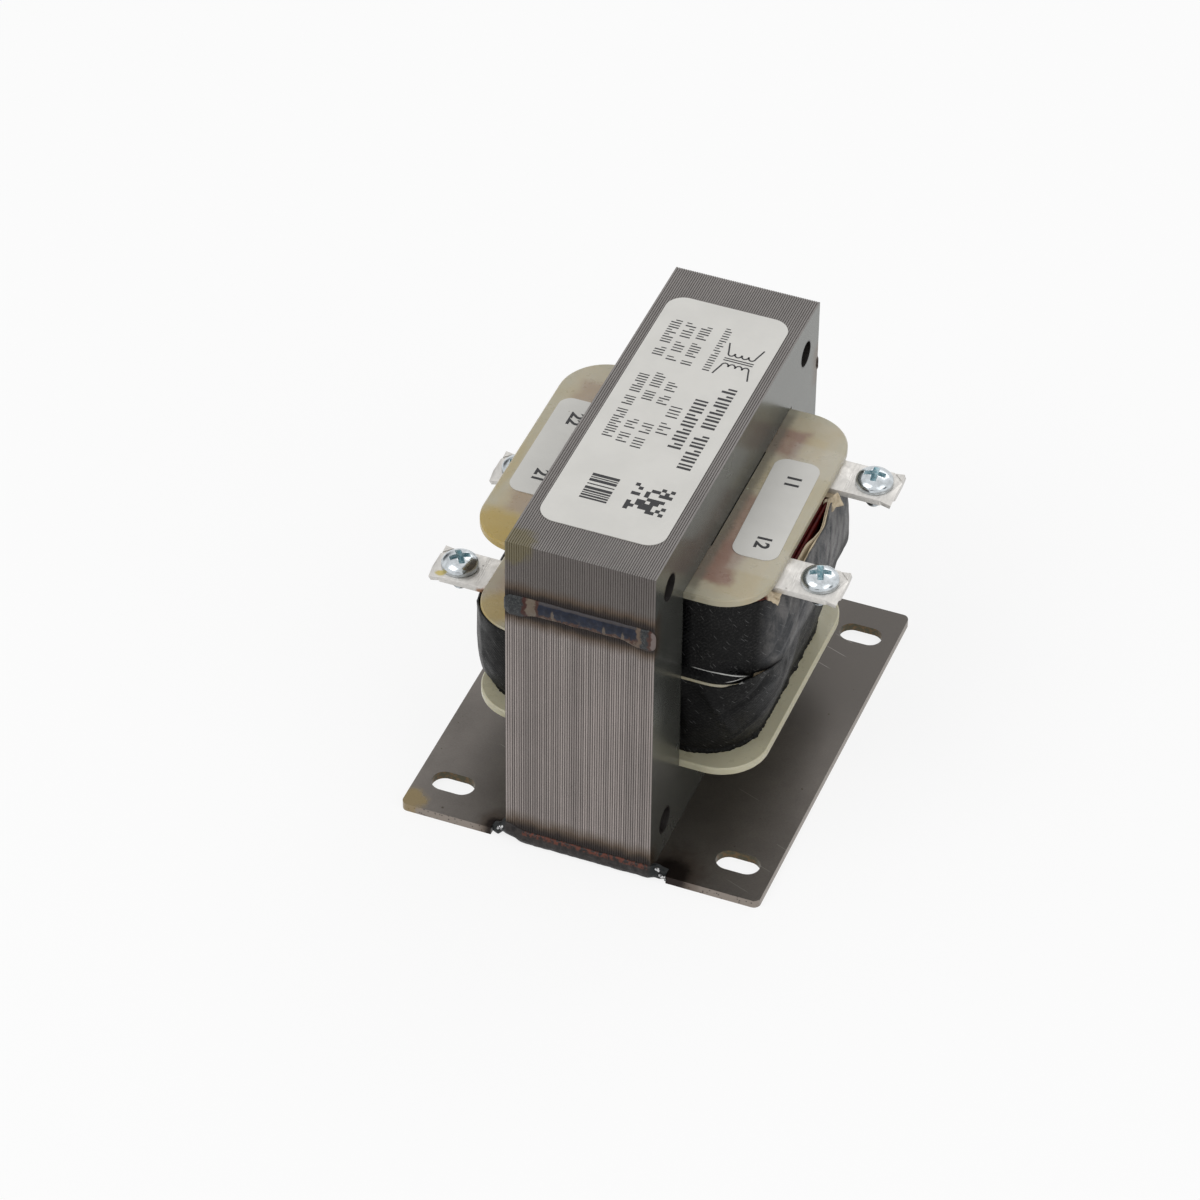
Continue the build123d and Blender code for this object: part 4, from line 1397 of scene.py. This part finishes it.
def crumpled_strip(long, wide, seed):
    """A crumpled scrap of paper, lying along X at the origin."""
    def place(across, up):
        x = (across - 0.5) * long
        y = (up - 0.5) * wide * (0.8 + 0.35 * wander(x, 0, 0, 0.8, seed))
        return Vector((x, y, 0.5 * wander(x, y, 0, 0.7, seed) + 0.2 * wander(x, y, 0, 2.0, seed)))

    made = flat_grid(24, 16, place, width=long, height=wide)
    bmesh.ops.solidify(made, geom=made.faces[:], thickness=PAPER_THICKNESS)
    return made


class TRANSFORMER_OT_papers(bpy.types.Operator):
    """Lay the insulation paper under the tape and the terminals"""

    bl_idname = "transformer.papers"
    bl_label = "Insulation Paper"

    def execute(self, context):
        cream = paper_finish(look(context, "coil"))
        bands = (("upper_paper", upper_paper_place, ["primary_paper_wrap"]),
                 ("split_paper", split_paper_place, []),
                 ("lower_paper", lower_paper_place, ["secondary_paper_wrap"]))
        for name, place, nodes in bands:
            made = flat_grid(300, 24, place, width=COIL_GIRTH, height=21.0)
            face_outwards_open(made)
            obj = piece(context, made, name, cream, nodes)
            add_thickness(obj, PAPER_THICKNESS)
        for end in ("front", "rear"):
            paint(end + "_lead_paper", cream)
        scraps = (("rear_scrap", 4.4, 3.4, (33.0, 9.0, 62.0), (0.5, -0.5, 0.6), 2.0),
                  ("front_scrap", 3.2, 2.4, (31.9, -23.0, 62.2), (0.3, 0.5, 0.2), 6.0))
        for name, long, wide, centre, turn, seed in scraps:
            made = crumpled_strip(long, wide, seed)
            bmesh.ops.rotate(made, cent=(0, 0, 0), matrix=Euler(turn).to_matrix(), verts=made.verts)
            bmesh.ops.translate(made, vec=centre, verts=made.verts)
            face_outwards(made)
            piece(context, made, name, cream)
        return {"FINISHED"}


# Terminals and screws

def stamped_lines(side, y, level):
    """Fine ridges across a strap where the press held it, as thin closed bars."""
    made = bmesh.new()
    for x, high in ((34.1, 0.05), (34.55, 0.07), (35.0, 0.05)):
        bar = bmesh.ops.create_cube(made, size=1.0)["verts"]
        bmesh.ops.scale(made, vec=(0.16, 2 * STRAP_HALF - 0.5, 2 * high), verts=bar)
        bmesh.ops.rotate(made, cent=(0, 0, 0), matrix=Matrix.Rotation(0.03, 3, "Z"), verts=bar)
        bmesh.ops.translate(made, vec=(side * x, y, level), verts=bar)
    return made


def raised_triangle(side, y, level, tip):
    """A stamped triangular mark on the raised corner of a strap's tip, as a thin closed plate."""
    made = bmesh.new()
    low, high = [], []
    for along, across in ((-0.35, -0.45), (-2.05, -0.45), (-0.35, -2.15)):
        rise = FOLD_SLOPE * (2.6 + along + across) / math.sqrt(2)
        place = (side * (tip + along), y + STRAP_HALF + across)
        low.append((*place, level + rise - 0.1))
        high.append((*place, level + rise + 0.22))
    closed_plate(made, low, high)
    bmesh.ops.recalc_face_normals(made, faces=made.faces)
    return made


class TRANSFORMER_OT_terminals(bpy.types.Operator):
    """Round the edges of the tinned straps and stamp their marks"""

    bl_idname = "transformer.terminals"
    bl_label = "Terminals"

    def execute(self, context):
        settings = look(context, "terminal")
        tin = tin_finish(settings)
        for coil, side in (("primary", 1), ("secondary", -1)):
            for end in ("front", "rear"):
                node = f"{coil}_{end}_terminal"
                low, high = box_mm(node)
                tip = high.x if side > 0 else -low.x
                made = copy_of(node)
                round_sharp_edges(made, settings.edge_round)
                piece(context, made, f"{coil}_{end}_strap", tin, [node])
                screw_low, screw_high = box_mm(f"{coil}_{end}_screw")
                middle = (screw_low.y + screw_high.y) / 2
                top = screw_high.z - HEAD_HEIGHT
                lines = stamped_lines(side, middle, top)
                piece(context, lines, f"{coil}_{end}_stamped_lines", tin, smooth=False)
                mark = raised_triangle(side, middle, top, tip)
                piece(context, mark, f"{coil}_{end}_stamped_mark", tin, smooth=False)
        return {"FINISHED"}


def turned_head(radius):
    """A pan head turned from its profile, standing on the origin."""
    made = bmesh.new()
    profile = [(0, 0), (radius - 0.35, 0.0), (radius - 0.08, 0.10), (radius, 0.3), (radius, HEAD_RIM)]
    for step in range(1, 12):
        angle = math.radians(7.5 * step)
        profile.append((radius * math.cos(angle) * (1 - 0.04 * math.sin(angle)),
                        HEAD_RIM + (HEAD_HEIGHT - HEAD_RIM) * math.sin(angle)))
    profile.append((0, HEAD_HEIGHT))
    verts = [made.verts.new((x, 0, z)) for x, z in profile]
    edges = [made.edges.new(pair) for pair in zip(verts, verts[1:])]
    bmesh.ops.spin(made, geom=verts + edges, cent=(0, 0, 0), axis=(0, 0, 1), angle=2 * math.pi, steps=96,
                   use_merge=True)
    face_outwards(made)
    return made


def recess_wing(long, wide, deep, turn):
    """A tapered wing that cuts one slot of a cross recess, from above the head down."""
    made = bmesh.new()
    bmesh.ops.create_cube(made, size=1.0)
    for vert in made.verts:
        top = vert.co.z > 0
        vert.co.x *= long if top else long * 0.30
        vert.co.y *= wide if top else wide * 0.65
        vert.co.z = 0.4 if top else -deep
    return turned(made, turn)


def threaded_shank(pitch, long):
    """A threaded shank below the origin: a helical ridge over a core."""
    made = bmesh.new()
    core = SHANK_RADIUS - THREAD_DEPTH
    straight = long - SHANK_TIP
    for radius, depth, middle in ((core - 0.4, SHANK_TIP, -long + SHANK_TIP / 2),
                                  (core, straight, -straight / 2)):
        bmesh.ops.create_cone(made, cap_ends=True, segments=32, radius1=radius, radius2=core, depth=depth,
                              matrix=Matrix.Translation((0, 0, middle)))
    turns = int((straight - SHANK_PLAIN) / pitch)
    steps = 28
    section = [made.verts.new(place) for place in ((core - 0.1, 0, -long + 0.5),
                                                   (SHANK_RADIUS, 0, -long + 0.8),
                                                   (core - 0.1, 0, -long + 1.1))]
    ridge = made.faces.new(section)
    bmesh.ops.spin(made, geom=[ridge, *ridge.edges, *section], cent=(0, 0, 0), axis=(0, 0, 1),
                   angle=2 * math.pi * turns, steps=steps * turns, dvec=(0, 0, pitch / steps))
    bmesh.ops.recalc_face_normals(made, faces=made.faces)
    return made


def cut_by(context, made, cutters):
    """A shape with other shapes cut from it."""
    meshes = []
    for shape in (made, *cutters):
        mesh = bpy.data.meshes.new("shape")
        shape.to_mesh(mesh)
        shape.free()
        meshes.append(mesh)
    whole = [bpy.data.objects.new("shape", mesh) for mesh in meshes]
    for obj in whole:
        context.collection.objects.link(obj)
    for tool in whole[1:]:
        cut = whole[0].modifiers.new("cut", "BOOLEAN")
        cut.operation = "DIFFERENCE"
        cut.solver = "EXACT"
        cut.object = tool
    context.view_layer.update()
    result = bmesh.new()
    result.from_mesh(bpy.data.meshes.new_from_object(
        whole[0].evaluated_get(context.evaluated_depsgraph_get())))
    for obj in whole:
        bpy.data.objects.remove(obj)
    return result


class TRANSFORMER_OT_screws(bpy.types.Operator):
    """Turn the pan-head screws, cut their cross recesses and thread them"""

    bl_idname = "transformer.screws"
    bl_label = "Screws"

    def execute(self, context):
        settings = look(context, "terminal")
        zinc = zinc_finish(settings)
        for coil, end, turn in (("primary", "front", 0.35), ("primary", "rear", 0.12),
                                ("secondary", "front", 0.62), ("secondary", "rear", 0.3)):
            node = f"{coil}_{end}_screw"
            low, high = box_mm(node)
            made = self.head(context, high.x - low.x, turn)
            seat = Vector(((low.x + high.x) / 2, (low.y + high.y) / 2, high.z - HEAD_HEIGHT))
            self.place(context, made, f"{coil}_{end}_screw_head", seat, zinc, [node])
            shank = threaded_shank(settings.thread_pitch, seat.z - low.z)
            self.place(context, shank, f"{coil}_{end}_screw_shank", seat, zinc, [])
        return {"FINISHED"}

    def head(self, context, width, turn):
        """A head with its cross recess."""
        wings = [recess_wing(long=5.6, wide=1.35, deep=1.9, turn=turn + quarter)
                 for quarter in (0.0, math.pi / 2)]
        for wing in wings:
            bmesh.ops.translate(wing, vec=(0, 0, HEAD_HEIGHT - 0.1), verts=wing.verts)
        return cut_by(context, turned_head(width / 2), wings)

    def place(self, context, made, name, seat, zinc, nodes):
        """Marks the faces of a screw's recess, and puts the part at its seat."""
        mark = made.faces.layers.float.new("recess")
        for face in made.faces:
            middle = face.calc_center_median()
            inside = middle.xy.length < RECESS_REACH and middle.z > 0.3
            share = max(0.0, 1 - (middle.xy.length / DOME_RADIUS) ** 2)
            crown = HEAD_RIM + (HEAD_HEIGHT - HEAD_RIM) * math.sqrt(share)
            face[mark] = 1.0 if inside and middle.z < crown - 0.18 else 0.0
            face.smooth = face[mark] < 0.5
        bmesh.ops.translate(made, vec=seat, verts=made.verts)
        piece(context, made, name, zinc, nodes, smooth=None)


# Labels

def print_stroke(made, start, end, width, level):
    """A straight printed stroke between two places of a label, as a thin closed bar."""
    start, end = Vector(start), Vector(end)
    run = end - start
    side = Vector((-run.y, run.x)).normalized() * width / 2
    corners = (start + side, start - side, end - side, end + side)
    closed_plate(made, [(*corner, level - INK_SINK) for corner in corners],
                 [(*corner, level + INK_HEIGHT) for corner in corners])


def print_line(made, x_low, x_high, y_start, y_end, groups, weight, level, chance):
    """A line of short upright bars in groups, running towards -Y."""
    total = sum(groups) + 0.7 * (len(groups) - 1)
    step = (y_start - y_end) / total
    y = y_start
    for count in groups:
        for _ in range(count):
            left = y - 0.14 * step
            right = y - 0.80 * step
            cut = chance.choice((0.0, 0.0, 0.35, 0.5))
            high = x_high - cut * (x_high - x_low) * chance.choice((0, 1))
            low = x_low + cut * (x_high - x_low) * (high == x_high)
            left -= weight / 2
            print_stroke(made, (low, left), (high, left), weight, level)
            right += weight / 2
            print_stroke(made, (x_low, right), (x_high, right), 1.25 * weight, level)
            y -= step
        y -= 0.7 * step


def print_coils(made, x, y, level):
    """A plain diagram of two coils with a core between them."""
    for side in (-1, 1):
        place = y + side * 2.3
        points = [Vector((x - 3.8, y + side * 5.3)), Vector((x - 3.0, place))]
        for turn in range(4):
            for step in range(9):
                angle = math.pi * step / 8
                middle = x - 2.25 + 1.5 * turn
                bulge = side * 1.05 * math.sin(angle)
                points.append(Vector((middle - 0.75 * math.cos(angle), place - bulge)))
        points += [Vector((x + 3.0, place)), Vector((x + 3.8, y + side * 5.3))]
        for start, end in zip(points, points[1:]):
            if (end - start).length > 1e-3:
                print_stroke(made, start, end, 0.34, level)
    for place in (y - 0.35, y + 0.35):
        print_stroke(made, (x - 3.2, place), (x + 3.2, place), 0.3, level)


def print_cells(made, x, y, size, count, level, chance):
    """A square of cells filled at random."""
    cell = size / count
    for row in range(count):
        for column in range(count):
            if chance.random() < 0.5:
                middle = y - size / 2 + (column + 0.5) * cell
                start = x - size / 2 + row * cell
                print_stroke(made, (start, middle), (start + cell, middle), cell, level)


def print_bars(made, x_low, x_high, y_start, y_end, level, chance):
    """Parallel bars of random widths."""
    y = y_start
    while y > y_end + 0.5:
        width = chance.choice((0.3, 0.5, 0.8))
        print_stroke(made, (x_low, y - width / 2), (x_high, y - width / 2), width, level)
        y -= width + chance.choice((0.3, 0.5, 0.7))


# Lines of the rating label: x from and to, y from and to, bars in each group, and stroke width
RATING_LINES = ((7.4, 10.35, 13.85, -14.4, (6, 5), 0.52), (3.35, 6.15, 8.25, -8.9, (7,), 0.5),
                (-0.5, 2.0, 4.2, -5.65, (2, 2), 0.3), (1.1, 2.6, 32.1, 17.0, (9,), 0.26),
                (-3.75, -1.5, 31.0, 17.2, (3, 3, 1), 0.28), (-3.75, -1.5, 11.2, 3.35, (2, 2), 0.28),
                (-3.75, -1.5, -2.9, -11.5, (2, 2), 0.28), (-7.1, -4.85, 31.0, 17.45, (3, 2, 1), 0.28),
                (-7.1, -4.85, 13.2, 3.6, (3, 2), 0.28), (-7.1, -4.85, -2.55, -10.8, (2, 2), 0.28),
                (-10.35, -8.1, 31.0, 18.1, (5, 2), 0.28), (-10.35, -8.1, 11.8, -10.15, (4, 2, 6), 0.28))


def numeral(context, text, x, y, turn, level):
    """A printed numeral as a thin shape on a label, its top to +X."""
    curve = bpy.data.curves.new("numeral", "FONT")
    curve.body = text
    curve.size = NUMERAL_HEIGHT
    curve.extrude = 0.02
    curve.offset = 0.13
    curve.align_x = "CENTER"
    curve.align_y = "CENTER"
    mesh = mesh_from(context, curve)
    made = bmesh.new()
    made.from_mesh(mesh)
    bpy.data.meshes.remove(mesh)
    turned(made, turn - math.pi / 2)
    bmesh.ops.translate(made, vec=(x, y, level), verts=made.verts)
    return made


class TRANSFORMER_OT_labels(bpy.types.Operator):
    """Finish the stickers and print their bars and numbers"""

    bl_idname = "transformer.labels"
    bl_label = "Labels"

    def execute(self, context):
        settings = look(context, "label")
        stock = label_finish(settings)
        ink = ink_finish(settings)
        for node in ("rating_label", "primary_label", "secondary_label"):
            paint(node, stock)
        chance = random.Random(settings.seed)
        level = box_mm("rating_label")[1].z
        made = bmesh.new()
        for x_low, x_high, y_start, y_end, groups, weight in RATING_LINES:
            print_line(made, x_low, x_high, y_start, y_end, groups, weight, level, chance)
        print_coils(made, x=7.25, y=22.35, level=level)
        print_cells(made, x=6.0, y=-25.4, size=8.4, count=9, level=level, chance=chance)
        print_bars(made, x_low=-7.4, x_high=-1.6, y_start=-21.65, y_end=-30.4, level=level, chance=chance)
        piece(context, made, "rating_print", ink, smooth=False)
        level = box_mm("primary_label")[1].z
        tilt = math.radians(2.0)
        marks = (("11", 24.45, 8.8, tilt), ("12", 25.3, -11.2, tilt), ("22", -24.2, 10.9, 0.0),
                 ("21", -24.2, -8.7, 0.0))
        for text, x, y, turn in marks:
            made = numeral(context, text, x, y, turn, level)
            piece(context, made, "numeral_" + text, ink, smooth=False)
        return {"FINISHED"}


# Stage

def cleared_tree(owner):
    """The emptied node tree of a material or a world."""
    owner.use_nodes = True
    owner.node_tree.nodes.clear()
    return owner.node_tree


def seen_directly(tree):
    """1 for rays from the camera, from metal and through glass."""
    path = put(tree, "LightPath").outputs
    seen = calc(tree, "MAXIMUM", path["Is Camera Ray"], path["Is Glossy Ray"])
    return calc(tree, "MAXIMUM", seen, path["Is Transmission Ray"])


def floor_finish(settings):
    """Pale floor that reads as white to the camera and keeps a soft shadow."""
    made = bpy.data.materials.new("pale_floor")
    tree = cleared_tree(made)
    matt = put(tree, "BsdfDiffuse", {"Color": settings.floor})
    glow = put(tree, "Emission", {"Color": (1.0, 1.0, 1.0), "Strength": 1.0})
    share = calc(tree, "MULTIPLY", seen_directly(tree), 0.82)
    both = put(tree, "MixShader", {0: share, 1: matt.outputs[0], 2: glow.outputs[0]})
    put(tree, "OutputMaterial", {0: both.outputs[0]})
    return made


def card_finish():
    """Dark grey card with a soft edge."""
    made = bpy.data.materials.new("dark_card")
    tree = cleared_tree(made)
    inner = put(tree, "Attribute", attribute_name="inner").outputs["Fac"]
    glow = put(tree, "Emission", {"Color": (0.04, 0.045, 0.05), "Strength": 1.0})
    clear = put(tree, "BsdfTransparent")
    both = put(tree, "MixShader", {0: fade(tree, inner, 0.0, 0.8), 1: clear.outputs[0], 2: glow.outputs[0]})
    put(tree, "OutputMaterial", {0: both.outputs[0]})
    return made


def lamp(context, name, place, target, size, power):
    """A soft square lamp."""
    data = bpy.data.lights.new(name, "AREA")
    data.shape = "SQUARE"
    data.size = size
    data.energy = power
    obj = placed(context, name, data)
    obj.location = place
    obj.rotation_euler = (Vector(target) - Vector(place)).to_track_quat("-Z", "Y").to_euler()


class TRANSFORMER_OT_stage(bpy.types.Operator):
    """Set the camera, the floor and the lamps"""

    bl_idname = "transformer.stage"
    bl_label = "Stage"

    def execute(self, context):
        settings = look(context, "stage")
        self.camera(context, settings)
        self.floor(context, settings)
        self.world(context, settings)
        middle = (0.0, 0.0, 0.04)
        lamp(context, "key_lamp", (-0.55, -0.75, 1.15), middle, size=0.8, power=5.85)
        lamp(context, "fill_lamp", (0.95, -0.45, 0.8), middle, size=0.9, power=2.6)
        lamp(context, "back_lamp", (0.15, 1.05, 0.9), middle, size=0.8, power=2.6)
        dark = card_finish()
        for name, place, size in (("left_card", (-0.52, 0.33, 0.16), (0.62, 0.46)),
                                  ("right_card", (0.62, -0.10, 0.26), (0.46, 0.40)),
                                  ("front_card", (0.10, -0.72, 0.16), (0.60, 0.26))):
            self.card(context, name, dark, Vector(place), Vector(middle), size)
        context.scene.view_settings.view_transform = "Standard"
        return {"FINISHED"}

    def card(self, context, name, dark, place, target, size):
        """A dark card that only polished metal sees."""
        made = bmesh.new()
        bmesh.ops.create_grid(made, x_segments=12, y_segments=12, size=0.5)
        inner = made.verts.layers.float.new("inner")
        for vert in made.verts:
            vert[inner] = max(0.0, 1.0 - 2.0 * vert.co.length)
        bmesh.ops.scale(made, vec=(*size, 1.0), verts=made.verts)
        turn = (target - place).to_track_quat("Z", "Y").to_matrix()
        bmesh.ops.rotate(made, cent=(0, 0, 0), matrix=turn, verts=made.verts)
        bmesh.ops.translate(made, vec=place, verts=made.verts)
        obj = placed(context, name, mesh_of(made, name, dark))
        for ray in ("camera", "diffuse", "transmission", "volume_scatter", "shadow"):
            setattr(obj, "visible_" + ray, False)

    def camera(self, context, settings):
        """The camera, turned about the object and aimed a little off its middle."""
        turn, rise, roll = settings.azimuth, settings.elevation, settings.roll
        back = Vector((math.sin(turn) * math.cos(rise), -math.cos(turn) * math.cos(rise), math.sin(rise)))
        level = Vector((math.cos(turn), math.sin(turn), 0.0))
        upright = back.cross(level)
        right = math.cos(roll) * level + math.sin(roll) * upright
        up = math.cos(roll) * upright - math.sin(roll) * level
        eye = settings.aim[0] * right + settings.aim[1] * up + settings.distance * back
        data = bpy.data.cameras.new("camera")
        data.sensor_width = 36.0
        data.lens = settings.lens
        data.clip_end = 20.0
        obj = placed(context, "camera", data)
        obj.matrix_world = Matrix.Translation(eye) @ Matrix((right, up, back)).transposed().to_4x4()
        context.scene.camera = obj

    def floor(self, context, settings):
        """A wide pale floor under the plate."""
        made = bmesh.new()
        bmesh.ops.create_grid(made, x_segments=2, y_segments=2, size=6.0)
        obj = placed(context, "floor", mesh_of(made, "floor", floor_finish(settings)))

    def world(self, context, settings):
        """White to the camera and to metal, and soft ambient light on the object."""
        world = bpy.data.worlds.new("studio")
        tree = cleared_tree(world)
        strength = calc(tree, "MULTIPLY_ADD", seen_directly(tree), 1.0 - settings.sky, settings.sky)
        sky = put(tree, "Background", {"Color": (1.0, 1.0, 1.0), "Strength": strength})
        put(tree, "OutputWorld", {0: sky.outputs[0]})
        context.scene.world = world


# Steps and panel

OPERATORS = (TRANSFORMER_OT_core, TRANSFORMER_OT_welds, TRANSFORMER_OT_bobbin, TRANSFORMER_OT_windings,
             TRANSFORMER_OT_papers, TRANSFORMER_OT_tapes, TRANSFORMER_OT_terminals, TRANSFORMER_OT_screws,
             TRANSFORMER_OT_labels, TRANSFORMER_OT_stage)


class TRANSFORMER_PT_panel(bpy.types.Panel):
    """Steps that dress the transformer, in order"""

    bl_idname = "TRANSFORMER_PT_panel"
    bl_label = "Transformer"
    bl_space_type = "VIEW_3D"
    bl_region_type = "UI"
    bl_category = "Transformer"

    def draw(self, context):
        for step in OPERATORS:
            self.layout.operator(step.bl_idname)


def register():
    """Registers the settings, the operators and the panel."""
    for part, group in LOOKS.items():
        bpy.utils.register_class(group)
        setattr(bpy.types.Scene, "transformer_" + part, PointerProperty(type=group))
    for step in OPERATORS:
        bpy.utils.register_class(step)
    bpy.utils.register_class(TRANSFORMER_PT_panel)


def unregister():
    """Takes everything out again, in reverse order."""
    bpy.utils.unregister_class(TRANSFORMER_PT_panel)
    for step in reversed(OPERATORS):
        bpy.utils.unregister_class(step)
    for part, group in reversed(list(LOOKS.items())):
        delattr(bpy.types.Scene, "transformer_" + part)
        bpy.utils.unregister_class(group)


def main():
    """Dresses the transformer."""
    register()
    for step in OPERATORS:
        family, name = step.bl_idname.split(".")
        getattr(getattr(bpy.ops, family), name)()
    bpy.context.view_layer.update()


if __name__ == "__main__":
    main()
